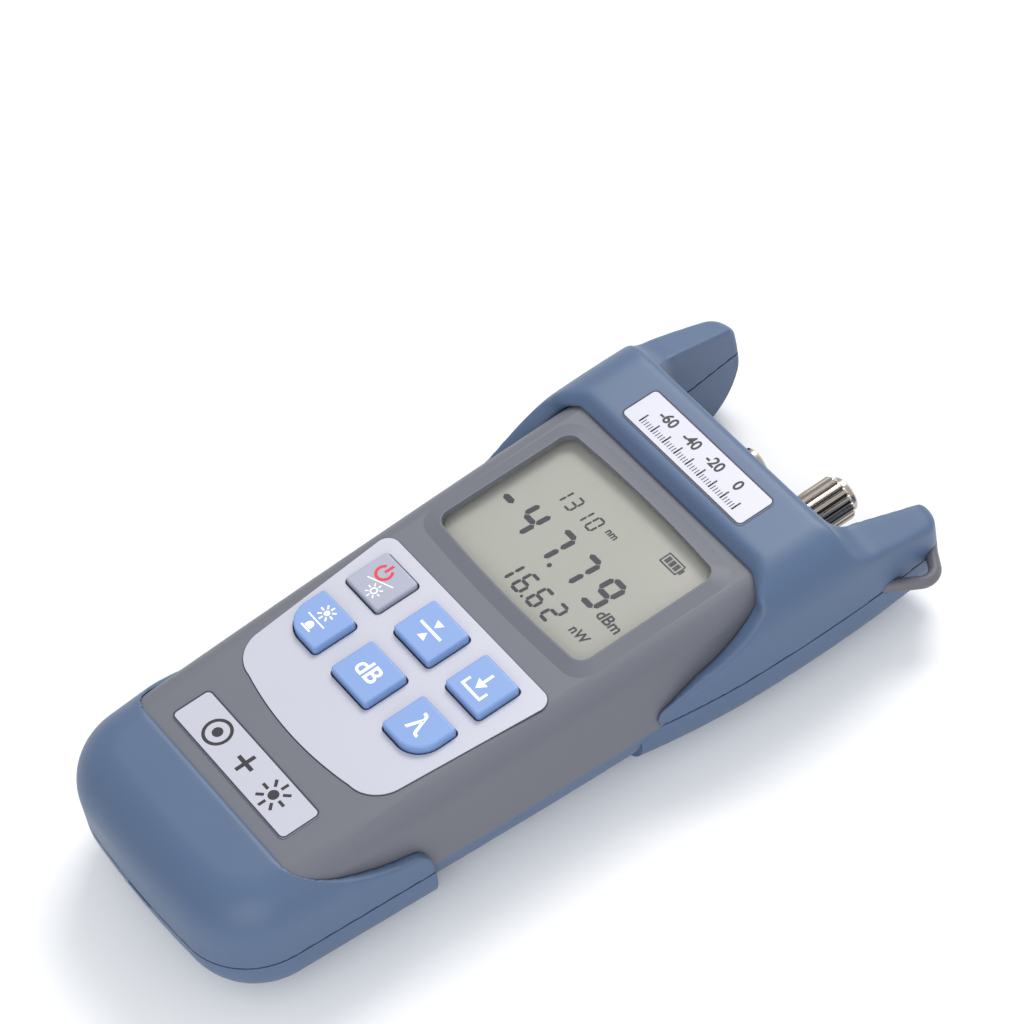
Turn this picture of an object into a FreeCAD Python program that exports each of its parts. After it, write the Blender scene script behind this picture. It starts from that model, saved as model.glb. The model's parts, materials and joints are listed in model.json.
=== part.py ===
import FreeCAD, Part

# Handheld optical power meter with a visible-light fault finder.
#
# Frame: millimetres, +Z out of the display face, +Y towards the fibre ports,
# +X to the reader's right. The back rests on Z = 0 and the middle of the
# back's flat face is the origin.

import math
import os

import Sketcher

os.makedirs("parts", exist_ok=True)
doc = FreeCAD.newDocument("optical_power_meter")
V = FreeCAD.Vector

# --------------------------------------------------------------------------
# Driving sizes: one named cell each
# --------------------------------------------------------------------------
SIZES = [
    # casing, along the meter
    ("port_wall", 70.5, "middle of the back to the outer face of the wall that holds the ports"),
    ("horn_length", 25.1, "port wall to the horn tips"),
    ("boot_length", 52.4, "boot end to the tips of its side wings"),
    ("boot_cap", 19.3, "boot end to the lowest point of the grey face"),
    ("head_length", 58.5, "port wall to the lower tips of the head cap"),
    ("shoulder_length", 32.5, "port wall to where the head reaches its width"),
    ("widest_offset", 3.5, "port wall to where the head is widest"),
    ("deck_length", 19.7, "port wall to the deck's lower edge"),
    ("neck_offset", 0.9, "boot wing tips to where the neck width is taken"),
    ("waist_offset", 7.9, "upper key row to where the waist width is taken"),
    # casing, widths
    ("tail_half", 34.0, "half width of the casing at the boot end"),
    ("neck_half", 36.4, "half width of the casing above the boot"),
    ("waist_half", 38.6, "half width of the casing at the keypad"),
    ("crown_half", 39.0, "half width of the casing under the head cap"),
    ("tail_draft", 2.2, "side lean at the boot end"),
    ("neck_draft", 2.4, "side lean at the neck"),
    ("waist_draft", 3.8, "side lean at the waist"),
    ("crown_draft", 2.2, "side lean under the head cap"),
    # casing, walls, seam and rounds
    ("wall", 2.0, "casing wall"),
    ("cover_gap", 0.1, "air between a cover and the casing under it"),
    ("core_margin", 2.6, "cover thickness at the two ends"),
    ("belly", 5.0, "inward lean of the casing's sides from the seam down to the back"),
    ("core_skim", 0.05, "trimmed off the lofted casing to make its back and face flat"),
    ("parting_height", 15.5, "back face to the seam between rear shell and covers"),
    ("seam_gap", 0.2, "shadow line between the rear shell and the two covers"),
    ("back_round", 17.0, "rounding along the back's long edges"),
    ("face_round", 6.5, "rounding along the face's long edges"),
    # bottom boot
    ("boot_rise", 0.9, "boot above the grey face"),
    ("boot_half", 38.4, "half width at the tips of the boot's wings"),
    ("boot_end_half", 35.1, "half width at the boot's end corners"),
    ("boot_bulge", 2.2, "rise of the curved boot end"),
    ("boot_corner", 18.0, "corner radius of the boot, seen from the front"),
    ("boot_top_round", 11.5, "rounding of the boot's front edge"),
    ("boot_back_round", 14.4, "rounding of the boot's back edge"),
    ("boot_line_rise", 2.4, "rise of the grey face's lower edge at its corners"),
    ("boot_line_half", 26.0, "half width of that edge"),
    ("boot_line_round", 9.0, "corner radius of that edge"),
    ("boot_line_side", 8.5, "width of its rounded corner"),
    ("boot_line_climb", 7.1, "height of its rounded corner"),
    ("boot_line_run", 12.0, "climb of that edge at the casing's sides"),
    ("boot_wing_height", 23.0, "back face to the top of the boot's wings"),
    ("boot_wing_nose", 4.2, "rounding of the wings' tips"),
    ("boot_wing_foot", 7.1, "wings' tips to the foot of their curved upper edge"),
    ("boot_wing_lip", 0.6, "rise of the wings' edge at that foot"),
    ("boot_wing_run", 35.1, "length of the wings' curved upper edge"),
    ("boot_wing_climb", 16.5, "height that this edge climbs"),
    ("boot_wing_curve", 60.0, "radius of this edge"),
    ("pry_slot_width", 9.0, "pry slot at the boot end"),
    ("pry_slot_height", 0.9, "height of the pry slot"),
    ("pry_slot_depth", 1.6, "depth of the pry slot"),
    # head cap
    ("deck_rise", 3.5, "deck above the grey face"),
    ("head_half", 42.5, "half width of the head at its shoulder"),
    ("head_end_half", 43.0, "half width of the head at its widest"),
    ("shoulder_curve", 200.0, "bow of the head's side below its shoulder"),
    ("flank_curve", 400.0, "bow of the head's side above its shoulder"),
    ("head_top_round", 12.0, "rounding along the head cap's front edges"),
    ("head_back_round", 13.0, "rounding along the head's back edges"),
    ("deck_edge_round", 2.4, "rounding of the deck's edge over the port wall"),
    ("brow_slope", 38.0, "lean of the deck's lower edge, degrees"),
    ("brow_half", 24.0, "half width of the straight stretch of that edge"),
    ("brow_round", 26.0, "radius of that edge's corners"),
    ("brow_side", 14.0, "width of that edge's corners"),
    ("brow_fall", 4.3, "height of that edge's corners"),
    ("brow_end", 11.0, "fall of that edge at the casing's sides"),
    # head cap's wings, seen from the side; tips to seam along, seam upwards
    ("wing_seat", 3.0, "crown's side to where a wing's inner outline is taken"),
    ("wing_over", 0.6, "head's side to where its outer outline is taken"),
    ("wing_root", 16.0, "head cap's tips to the wing's root"),
    ("wing_top_run", 3.2, "deck's lower edge to the top of the wing's curve"),
    ("inner_tip", 4.8, "head cap's tips to the wing's inner tip"),
    ("inner_tip_rise", 0.1, "seam to the wing's inner tip"),
    ("inner_nose", 8.0, "head cap's tips to the end of the inner tip's rounding"),
    ("inner_nose_rise", 3.5, "seam to the end of that rounding"),
    ("inner_root_rise", 6.8, "seam to the wing's inner root"),
    ("inner_top_rise", 24.5, "seam to the top of the inner curve"),
    ("inner_curve", 35.0, "radius of the inner curve"),
    ("outer_tip", 3.3, "head cap's tips to the wing's outer tip"),
    ("outer_tip_rise", 3.1, "seam to the wing's outer tip"),
    ("outer_nose", 7.5, "head cap's tips to the end of the outer tip's rounding"),
    ("outer_nose_rise", 7.2, "seam to the end of that rounding"),
    ("outer_root_rise", 10.0, "seam to the wing's outer root"),
    ("outer_top_rise", 26.5, "seam to the top of the outer curve"),
    ("outer_curve", 39.5, "radius of the outer curve"),
    # horns
    ("horn_drop", 6.9, "deck down to a horn where it leaves the head"),
    ("horn_fall", 5.1, "fall of a horn's top from there to its tip"),
    ("horn_lean", 0.25, "fall of a horn's top towards the outside, per unit of width"),
    ("horn_inner", 32.4, "inner side of a horn at its root"),
    ("horn_tip_inner", 34.2, "inner side of a horn at its tip"),
    ("horn_tip_outer", 41.2, "outer side of a horn at its tip"),
    ("horn_curve", 400.0, "bow of a horn's outer side, seen from the front"),
    ("horn_tip_round", 1.6, "inner corner radius at the tip"),
    ("horn_corner", 5.3, "outer corner radius at the tip"),
    ("horn_root_round", 6.5, "scoop between a horn and the port wall"),
    ("horn_back_round", 17.0, "rounding of a horn's back corner, from the side"),
    ("horn_nose_round", 3.6, "rounding of a horn's upper tip, from the side"),
    ("horn_pocket_end", 10.3, "horn tip to the end of the hollow inside it"),
    ("horn_pocket_floor", 8.2, "back face to the hollow inside a horn"),
    ("horn_pocket_wall", 2.4, "walls round that hollow"),
    ("horn_sweep", 28.0, "width of the air cut away over a horn"),
    # display, from the casing's middle outwards and from the board upwards
    ("window_width", 54.3, "display opening"),
    ("window_height", 37.7, "display opening"),
    ("window_drop", 25.4, "deck's lower edge to the middle of the opening"),
    ("window_corner", 3.2, "corner radius of the opening"),
    ("window_bow", 0.8, "outward bow of the opening's long edges"),
    ("bezel_border", 3.6, "width of the sloping frame round the opening"),
    ("bezel_lip", 0.4, "flat lip between the frame's slope and the opening"),
    ("bezel_rise", 1.0, "rise of the frame from the face to the opening"),
    ("bezel_round", 2.2, "corner radius of the frame beyond that of the opening"),
    ("lens_recess", 1.5, "frame top down to the lens"),
    ("lens_thickness", 1.5, "clear lens"),
    ("lens_lap", 1.8, "lens beyond the opening, each side"),
    ("lens_air", 0.1, "air round the lens in its seat"),
    ("lens_corner", 1.0, "corner radius of the lens"),
    ("display_gap", 0.2, "air between lens and display glass"),
    ("glass_inset", 0.2, "display glass inside the lens's edge, each side"),
    ("glass_low_lap", 2.4, "display glass below the opening"),
    ("glass_high_lap", 3.4, "display glass above the opening, over its contacts"),
    ("glass_thickness", 2.6, "display glass"),
    ("light_thickness", 3.0, "light guide behind the display glass"),
    ("strip_width", 2.2, "contact strip"),
    ("strip_air", 0.4, "air on each side of the contact strip"),
    ("strip_inset", 3.0, "contact strip short of the glass at each end"),
    ("tray_floor", 4.1, "board up to the light guide"),
    ("tray_wall", 1.2, "walls of the display tray"),
    ("tray_air", 0.1, "air between tray and glass"),
    # keypad
    ("key_pitch", 19.25, "spacing of the key columns"),
    ("row_pitch", 16.8, "spacing of the key rows"),
    ("keypad_drop", 38.3, "middle of the display to the upper key row"),
    ("key_offset", -1.1, "keypad's middle column from the meter's middle"),
    ("side_key_width", 12.4, "outer keys"),
    ("middle_key_width", 13.4, "middle keys"),
    ("key_length", 11.4, "all keys, along the meter"),
    ("key_gap", 0.3, "air round a key"),
    ("key_rise", 2.3, "key tops above the face"),
    ("power_key_rise", 1.5, "power key above the face"),
    ("key_corner", 0.9, "corner radius of a key"),
    ("key_big_corner", 6.3, "large corner radius on the outer lower keys"),
    ("key_edge", 0.55, "rounding of a key's top edge"),
    ("key_travel", 0.6, "key travel"),
    ("key_flange", 1.0, "key flange beyond its stem, each side"),
    ("flange_thickness", 1.0, "key flange"),
    ("flange_air", 0.15, "air over a key flange"),
    ("mat_air", 0.1, "air between a pressed key and the mat"),
    ("mat_thickness", 1.2, "silicone key mat"),
    ("mat_rim", 1.2, "rim round the mat"),
    ("mat_margin", 0.4, "air between the key flanges and the rim"),
    ("seat_margin", 1.0, "room above the lens seat, in the face's underside"),
    ("mat_pillar", 2.6, "radius of the pillars under the keys"),
    ("dome_radius", 3.6, "snap domes on the board"),
    ("dome_rise", 0.5, "height of a snap dome"),
    # labels
    ("overlay_over", 9.6, "upper key row to the overlay's upper edge"),
    ("overlay_under", 21.7, "lower key row to the overlay's lowest point"),
    ("overlay_half", 30.9, "half width of the overlay at its top"),
    ("overlay_low_half", 27.6, "half width of the overlay near its foot"),
    ("overlay_corner", 3.2, "upper corners of the overlay"),
    ("overlay_low_corner", 8.5, "lower corners of the overlay"),
    ("overlay_low_side", 8.1, "width of the overlay's lower corners"),
    ("overlay_low_climb", 7.3, "height of the overlay's lower corners"),
    ("overlay_bow", 2.0, "bow of the overlay's foot"),
    ("label_thickness", 0.3, "overlay and labels"),
    ("label_width", 44.0, "both labels"),
    ("label_height", 10.4, "both labels"),
    ("label_corner", 1.5, "both labels"),
    ("top_label_inset", 10.7, "port wall to the middle of the label on the deck"),
    ("bottom_label_offset", 12.7, "grey face's lower edge to the middle of the lower label"),
    ("label_drop", 11.9, "overlay's lowest point to the middle of the lower label"),
    # circuit board and what it carries
    ("underside_space", 2.5, "battery bay to the underside of the board"),
    ("board_thickness", 1.6, "circuit board"),
    ("board_half", 30.0, "half width of the board"),
    ("board_top_inset", 19.5, "port wall to the upper edge of the board"),
    ("board_low_inset", 29.3, "boot end to the lower edge of the board"),
    ("board_boss_radius", 2.6, "casing posts that hold the board"),
    ("board_screw_radius", 1.0, "board screws"),
    ("board_screw_head", 1.9, "radius of the board screws' heads"),
    ("board_screw_head_height", 1.4, "height of the board screws' heads"),
    ("board_screw_length", 6.0, "board screws under the head"),
    ("board_hole_air", 0.1, "air round a board screw in the board"),
    ("board_thread_air", 0.05, "air round a board screw in its post"),
    ("board_screw_inset", 3.4, "board screws from the board's edge"),
    ("upper_post_drop", 7.5, "display opening to the upper pair of posts"),
    ("lower_post_inset", 34.8, "boot end to the lower pair of posts"),
    ("processor_size", 14.0, "processor"),
    ("processor_height", 1.5, "processor"),
    ("processor_x", -8.0, "middle of the processor"),
    ("processor_drop", 7.4, "middle of the display to the middle of the processor"),
    ("buzzer_radius", 6.0, "buzzer"),
    ("buzzer_height", 5.0, "buzzer"),
    ("buzzer_x", 18.0, "middle of the buzzer"),
    ("buzzer_lift", 4.6, "middle of the display to the middle of the buzzer"),
    # batteries
    ("cell_radius", 7.1, "AA cell"),
    ("cell_length", 49.2, "AA cell without its button"),
    ("cell_button", 1.3, "length of the cell's button"),
    ("cell_button_radius", 2.7, "radius of the cell's button"),
    ("cell_bevel", 0.5, "bevels at the cell's ends"),
    ("cell_gap", 0.4, "air between two cells"),
    ("cell_seat", 0.2, "air between a cell and the back"),
    ("cell_room", 0.4, "air over a cell"),
    ("bay_offset", 21.3, "boot end to the battery bay"),
    ("bay_wall", 1.2, "walls of the battery bay"),
    ("contact_thickness", 0.4, "contact plates"),
    ("contact_size", 11.0, "contact plates"),
    ("spring_length", 3.3, "contact spring, pressed"),
    ("spring_wire", 0.8, "wire of the contact springs"),
    ("spring_riser", 0.3, "radius of the riser that joins a spring's rings"),
    ("door_lap", 1.2, "door lip over the bay opening"),
    ("door_gap", 0.35, "air round the battery door"),
    ("door_lip", 1.0, "thickness of the door's lip"),
    ("grip_width", 16.0, "finger grooves in the door"),
    ("grip_pitch", 2.2, "spacing of the finger grooves"),
    ("grip_groove", 1.0, "width of a finger groove"),
    ("grip_depth", 0.4, "depth of a finger groove"),
    ("grip_inset", 4.0, "bay's edge to the first finger groove"),
    ("tongue_half", 9.2, "half width of the door's snap tongue"),
    ("tongue_length", 14.0, "length of the snap tongue"),
    ("tongue_slit", 0.8, "slits beside the snap tongue"),
    # ports
    ("port_x", 15.1, "optical input"),
    ("finder_x", -5.5, "fault finder output"),
    ("torch_x", -21.0, "torch lamp"),
    ("port_radius", 4.0, "barrel of a port"),
    ("port_bore", 2.5, "wide bore at the back of the optical input, for the photodiode"),
    ("port_bore_depth", 4.5, "depth of that bore"),
    ("port_depth", 7.8, "barrel behind the casing's end wall"),
    ("ferrule_radius", 1.25, "bore for a 2.5 mm ferrule"),
    ("flange_radius", 6.4, "flange of the optical input"),
    ("port_flange", 1.8, "thickness of the optical input's flange"),
    ("barrel_reach", 9.8, "barrel beyond the port wall"),
    ("diode_radius", 2.4, "photodiode"),
    ("diode_length", 4.3, "photodiode"),
    ("diode_flange", 2.9, "radius of the photodiode's base"),
    ("diode_base", 1.0, "thickness of the photodiode's base"),
    ("finder_reach", 8.2, "fault finder sleeve beyond the port wall"),
    ("finder_flange", 1.2, "fault finder flange, thickness and width"),
    ("port_bevel", 0.5, "bevel at the end of the fault finder sleeve"),
    ("laser_radius", 4.3, "laser module"),
    ("laser_length", 18.0, "laser module"),
    ("laser_neck", 3.2, "radius of the laser module's back end"),
    ("laser_neck_length", 2.0, "laser module's back end"),
    ("nut_thickness", 2.0, "port nuts"),
    ("nut_width", 1.9, "port nuts beyond the barrel"),
    ("nut_air", 0.05, "air between nut and barrel"),
    ("adapter_start", 5.6, "adapter's back end from the port wall"),
    ("adapter_length", 10.4, "fluted length of the adapter"),
    ("adapter_radius", 5.55, "adapter"),
    ("adapter_nose", 1.6, "length of the adapter's front ring"),
    ("adapter_nose_radius", 4.3, "radius of the adapter's front ring"),
    ("adapter_bevel", 0.55, "bevels at the adapter's two ends"),
    ("nose_bevel", 0.4, "bevel of the adapter's front ring"),
    ("flute_radius", 0.55, "flutes of the adapter"),
    ("thread_gap", 0.15, "air between adapter and barrel"),
    ("barrel_air", 0.4, "air between the barrel's end and the adapter's front"),
    ("torch_radius", 2.5, "torch lamp"),
    ("torch_flange", 1.4, "torch lamp's base, inside the casing"),
    ("torch_lip", 0.4, "torch lamp's base beyond the lamp"),
    ("torch_proud", 0.4, "straight part of the lamp beyond the port wall"),
    # lanyard loop
    ("loop_rod", 1.5, "radius of the loop's rod"),
    ("loop_fit", 0.05, "air between the loop's rod and the horn"),
    ("loop_stand", 5.26, "middle line of the loop's corner beyond the head's side"),
    ("loop_sink", 2.2, "middle line of the loop's start inside the head's side"),
    ("loop_end_sink", 3.0, "middle line of the loop's end inside the horn's tip"),
    ("loop_start_inset", 19.4, "horn tip back to the loop's start"),
    ("loop_corner_inset", 8.05, "horn tip back to the loop's corner"),
    ("loop_end_inset", 2.5, "horn tip back to the loop's end"),
    ("loop_bend", 3.5, "middle-line radius of the loop's bend"),
    # screws
    ("boss_radius", 3.6, "casing screw posts"),
    ("screw_radius", 1.45, "casing screws"),
    ("screw_air", 0.1, "air round the casing screws"),
    ("screw_head_radius", 2.8, "casing screw heads"),
    ("screw_head_height", 2.2, "casing screw heads"),
    ("screw_head_depth", 4.0, "back face to the underside of a screw head"),
    ("screw_socket", 1.2, "radius of the socket in a screw head"),
    ("screw_socket_depth", 1.0, "depth of the socket"),
    ("screw_bevel", 0.5, "bevel of a screw head"),
    ("screw_point", 0.4, "radius of a screw's end"),
    ("screw_point_length", 1.0, "tapered end of a screw"),
    ("counterbore_air", 0.3, "air round a screw head"),
    ("screw_length", 20.0, "casing screws under the head"),
    ("head_screw_x", 27.5, "screws at the head"),
    ("head_screw_inset", 10.5, "port wall to the screws at the head"),
    ("boot_screw_x", 21.0, "screws at the boot"),
    ("boot_screw_inset", 14.8, "boot end to the screws at the boot"),
]

sheet = doc.addObject("Spreadsheet::Sheet", "Sizes")
for row, (alias, number, note) in enumerate(SIZES, start=1):
    sheet.set("A%d" % row, note)
    sheet.set("B%d" % row, str(number))
    sheet.setAlias("B%d" % row, alias)
doc.recompute()


class Size:
    """A length that knows its number and the sheet expression it comes from."""

    def __init__(self, value, text):
        self.value = value
        self.text = text

    @staticmethod
    def of(other):
        return other if isinstance(other, Size) else Size(float(other), repr(float(other)))

    def joined(self, other, sign, value):
        return Size(value, "(%s %s %s)" % (self.text, sign, other.text))

    def __add__(self, other):
        other = Size.of(other)
        return self.joined(other, "+", self.value + other.value)

    def __sub__(self, other):
        other = Size.of(other)
        return self.joined(other, "-", self.value - other.value)

    def __mul__(self, other):
        other = Size.of(other)
        return self.joined(other, "*", self.value * other.value)

    def __truediv__(self, other):
        other = Size.of(other)
        return self.joined(other, "/", self.value / other.value)

    def __radd__(self, other):
        return Size.of(other) + self

    def __rsub__(self, other):
        return Size.of(other) - self

    def __rmul__(self, other):
        return Size.of(other) * self

    def __neg__(self):
        return Size(-self.value, "(-1 * %s)" % self.text)


class SizeTable:
    """Gives each cell of the sheet by its name, as S.wall or face_height."""

    def __getattr__(self, alias):
        return Size(float(sheet.get(alias)), "Sizes." + alias)


S = SizeTable()

# places along the meter
horn_tips = S.port_wall + S.horn_length
head_start = S.port_wall - S.head_length
head_shoulder = S.port_wall - S.shoulder_length
head_widest = S.port_wall + S.widest_offset
brow_line = S.port_wall - S.deck_length
window_centre = brow_line - S.window_drop
upper_row = window_centre - S.keypad_drop
lower_row = upper_row - S.row_pitch
overlay_top = upper_row + S.overlay_over
overlay_bottom = lower_row - S.overlay_under
top_label_centre = S.port_wall - S.top_label_inset
bottom_label_centre = overlay_bottom - S.label_drop
boot_line = bottom_label_centre - S.bottom_label_offset
boot_end = boot_line - S.boot_cap
boot_shoulder = boot_end + S.boot_length
neck_station = boot_shoulder + S.neck_offset
waist_station = upper_row + S.waist_offset
board_top = S.port_wall - S.board_top_inset
board_bottom = boot_end + S.board_low_inset
upper_post = window_centre - S.window_height / 2 - S.upper_post_drop
lower_post = boot_end + S.lower_post_inset
head_screw_y = S.port_wall - S.head_screw_inset
boot_screw_y = boot_end + S.boot_screw_inset
bay_bottom = boot_end + S.bay_offset
bay_length = S.cell_length + S.cell_button + S.spring_length + 2 * S.contact_thickness
bay_top_end = bay_bottom + bay_length

# heights, stacked from the back to the deck
cell_height = S.wall + S.cell_seat + S.cell_radius
bay_ceiling = cell_height + S.cell_radius + S.cell_room
board_height = bay_ceiling + S.bay_wall + S.underside_space
board_top_face = board_height + S.board_thickness
guide_bottom = board_top_face + S.tray_floor
glass_bottom = guide_bottom + S.light_thickness
glass_top = glass_bottom + S.glass_thickness
lens_bottom = glass_top + S.display_gap
lens_top = lens_bottom + S.lens_thickness
frame_top = lens_top + S.lens_recess
face_height = frame_top - S.bezel_rise
deck_height = face_height + S.deck_rise
boot_height = face_height + S.boot_rise
horn_root_height = deck_height - S.horn_drop
horn_tip_height = horn_root_height - S.horn_fall

meter_length = horn_tips - boot_end
reach = meter_length            # far enough to pass right through the meter


# --------------------------------------------------------------------------
# Ways of making things
# --------------------------------------------------------------------------
PLANE_TURN = {
    "XY": FreeCAD.Rotation(),
    "XZ": FreeCAD.Rotation(V(1, 0, 0), 90),
    "YZ": FreeCAD.Rotation(V(1, 1, 1), 120),
}
PLANE_AXIS = {"XY": "z", "XZ": "y", "YZ": "x"}
PLANE_NORMAL = {"XY": V(0, 0, 1), "XZ": V(0, 1, 0), "YZ": V(1, 0, 0)}


def bind(thing, **sizes):
    """Tie properties of an object to sheet expressions."""
    for name, amount in sizes.items():
        thing.setExpression(name, Size.of(amount).text)


def arc_between(start, end, radius):
    """Arc from start to end; a positive radius turns left, a negative one right."""
    chord = end - start
    half = chord.Length / 2
    reach = math.sqrt(max(radius * radius - half * half, 0.0))
    side = V(-chord.y, chord.x, 0).normalize() * (reach if radius > 0 else -reach)
    centre = (start + end) / 2 + side
    first = math.atan2(start.y - centre.y, start.x - centre.x)
    last = math.atan2(end.y - centre.y, end.x - centre.x)
    circle = Part.Circle(centre, V(0, 0, 1), abs(radius))
    if radius > 0:
        return Part.ArcOfCircle(circle, first, last), 1, 2
    return Part.ArcOfCircle(circle, last, first), 2, 1


def draw(sketch, corners):
    """Closed outline: a corner is (across, up) or (across, up, radius), and the
    radius bends the edge that leaves that corner."""
    spots = [V(Size.of(corner[0]).value, Size.of(corner[1]).value, 0) for corner in corners]
    first_ends = []
    last_ends = []
    for index, corner in enumerate(corners):
        start, end = spots[index], spots[(index + 1) % len(corners)]
        if len(corner) == 3:
            curve, first, last = arc_between(start, end, Size.of(corner[2]).value)
        else:
            curve, first, last = Part.LineSegment(start, end), 1, 2
        sketch.addGeometry(curve, False)
        first_ends.append(first)
        last_ends.append(last)
    for index, corner in enumerate(corners):
        before = index - 1 if index else len(corners) - 1
        sketch.addConstraint(Sketcher.Constraint(
            "Coincident", before, last_ends[before], index, first_ends[index]))
        for kind, amount in (("DistanceX", corner[0]), ("DistanceY", corner[1])):
            amount = Size.of(amount)
            number = sketch.addConstraint(Sketcher.Constraint(
                kind, -1, 1, index, first_ends[index], amount.value))
            sketch.setExpression("Constraints[%d]" % number, amount.text)
        if len(corner) == 3:
            radius = Size.of(corner[2])
            positive = radius if radius.value > 0 else -radius
            number = sketch.addConstraint(Sketcher.Constraint("Radius", index, positive.value))
            sketch.setExpression("Constraints[%d]" % number, positive.text)


def outline(name, plane, level, corners):
    """Sketch on a plane at a level."""
    sketch = doc.addObject("Sketcher::SketchObject", name)
    level = Size.of(level)
    sketch.Placement = FreeCAD.Placement(PLANE_NORMAL[plane] * level.value, PLANE_TURN[plane])
    draw(sketch, corners)
    sketch.setExpression("Placement.Base." + PLANE_AXIS[plane], level.text)
    return sketch


def prism(name, plane, level, corners, length, taper=0):
    """Outline pulled out along the plane's axis."""
    pull = doc.addObject("Part::Extrusion", name)
    pull.Base = outline(name + "_outline", plane, level, corners)
    pull.DirMode = "Custom"
    pull.Dir = PLANE_NORMAL[plane]
    pull.Solid = True
    bind(pull, LengthFwd=length)
    if Size.of(taper).value:
        bind(pull, TaperAngle=taper)
    return pull


def box(name, x, y, z, size_x, size_y, size_z):
    """Box from its low corner."""
    block = doc.addObject("Part::Box", name)
    bind(block, Length=size_x, Width=size_y, Height=size_z)
    place(block, x, y, z)
    return block


def place(thing, x, y, z):
    """Put an object's base point somewhere on the sheet's sizes."""
    for axis, amount in zip("xyz", (x, y, z)):
        amount = Size.of(amount)
        thing.setExpression("Placement.Base." + axis, amount.text)


def rod(name, x, y, z, radius, length, axis="Z"):
    """Round rod from its base point along an axis."""
    bar = doc.addObject("Part::Cylinder", name)
    bind(bar, Radius=radius, Height=length)
    if axis == "Y":
        bar.Placement = FreeCAD.Placement(V(), FreeCAD.Rotation(V(1, 0, 0), -90))
    elif axis == "X":
        bar.Placement = FreeCAD.Placement(V(), FreeCAD.Rotation(V(0, 1, 0), 90))
    place(bar, x, y, z)
    return bar


def fuse(name, *things):
    union = doc.addObject("Part::MultiFuse", name)
    union.Shapes = list(things)
    return union


def common(name, *things):
    overlap = doc.addObject("Part::MultiCommon", name)
    overlap.Shapes = list(things)
    return overlap


def cut(name, base, tool):
    rest = doc.addObject("Part::Cut", name)
    rest.Base = base
    rest.Tool = tool
    return rest


def rounded(name, base, *rounds):
    """Fillet: each round is (radius, test), and the test picks edges."""
    doc.recompute()
    smooth = doc.addObject("Part::Fillet", name)
    smooth.Base = base
    picks = []
    for number, edge in enumerate(base.Shape.Edges, start=1):
        for radius, test in rounds:
            if test(edge):
                picks.append((number, Size.of(radius).value, Size.of(radius).value))
                break
    smooth.Edges = picks
    return smooth


def near(value, target, slack=0.01):
    return abs(value - Size.of(target).value) < slack


def lies_at(edge, **levels):
    """True when every point of the edge has these coordinates."""
    points = [edge.valueAt(edge.FirstParameter + share * (edge.LastParameter - edge.FirstParameter))
              for share in (0.0, 0.5, 1.0)]
    return all(near(getattr(point, axis), level) for axis, level in levels.items() for point in points)


def stands(edge):
    """True for a straight edge along Z."""
    start, end = edge.Vertexes[0].Point, edge.Vertexes[-1].Point
    return near(start.x, end.x) and near(start.y, end.y) and not near(start.z, end.z)


# --------------------------------------------------------------------------
# The casing's outer forms
# --------------------------------------------------------------------------
def mirrored_corners(right_side):
    """Corners up the right side, then the same corners down the left side."""
    left_side = []
    for index in reversed(range(len(right_side))):
        across, up = right_side[index][:2]
        bend = tuple(right_side[index - 1][2:]) if index else ()
        left_side.append((-Size.of(across), up) + bend)
    return list(right_side) + left_side


tail_end = boot_end + S.core_margin
crown_end = S.port_wall - S.core_margin
boot_flare = (S.boot_half - S.boot_end_half) / (boot_shoulder - boot_end - S.boot_bulge)


def tail_trim(name, inset):
    """Rounds the casing's boot end, so that it nests inside the boot."""
    end_line = tail_end + S.boot_bulge + inset
    end_half = S.tail_half - inset
    end_curve = S.boot_end_half * S.boot_end_half / (2 * S.boot_bulge)
    slab = prism(name + "_slab", "XY", inset, [
        (-end_half, end_line, end_curve),
        (end_half, end_line),
        (end_half + boot_flare * meter_length, end_line + meter_length),
        (-end_half - boot_flare * meter_length, end_line + meter_length),
    ], face_height - 2 * inset)

    def end_corner(edge):
        return stands(edge) and near(edge.BoundBox.YMax, end_line)

    cornered = rounded(name + "_cornered", slab, (S.boot_corner - S.core_margin - inset, end_corner))

    def outer(edge):
        return edge.BoundBox.YMin < S.port_wall.value

    return rounded(
        name, cornered,
        (S.boot_top_round - S.core_margin - inset,
         lambda edge: outer(edge) and lies_at(edge, z=face_height - inset)),
        (S.boot_back_round - S.core_margin - inset,
         lambda edge: outer(edge) and lies_at(edge, z=inset)))


def core(name, inset):
    """The casing under the covers, full length, drawn in by an inset."""
    stations = [
        (tail_end + inset, S.tail_half, S.tail_draft),
        (neck_station, S.neck_half, S.neck_draft),
        (waist_station, S.waist_half, S.waist_draft),
        (crown_end - inset, S.crown_half, S.crown_draft),
    ]
    low = inset - S.core_skim
    high = face_height - inset + S.core_skim
    loft = doc.addObject("Part::Loft", name + "_loft")
    sections = []
    for number, (station, half, draft) in enumerate(stations):
        corners = mirrored_corners([
            (half - S.belly - inset, low),
            (half - inset, S.parting_height),
            (half - draft - inset, high),
        ])
        sections.append(outline("%s_section_%d" % (name, number), "XZ", station, corners))
    loft.Sections = sections
    loft.Solid = True
    loft.Ruled = False

    def runs_along_back(edge):
        return lies_at(edge, z=low) and not near(edge.BoundBox.YLength, 0)

    def runs_along_face(edge):
        return lies_at(edge, z=high) and not near(edge.BoundBox.YLength, 0)

    sides = rounded(name + "_sides", loft, (S.back_round - inset, runs_along_back),
                    (S.face_round - inset, runs_along_face))
    return common(name, sides, tail_trim(name + "_tail", inset))


core_form = core("core_form", Size.of(0))
core_clearance = core("core_clearance", -S.cover_gap)
core_cavity = core("core_cavity", S.wall)

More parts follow.
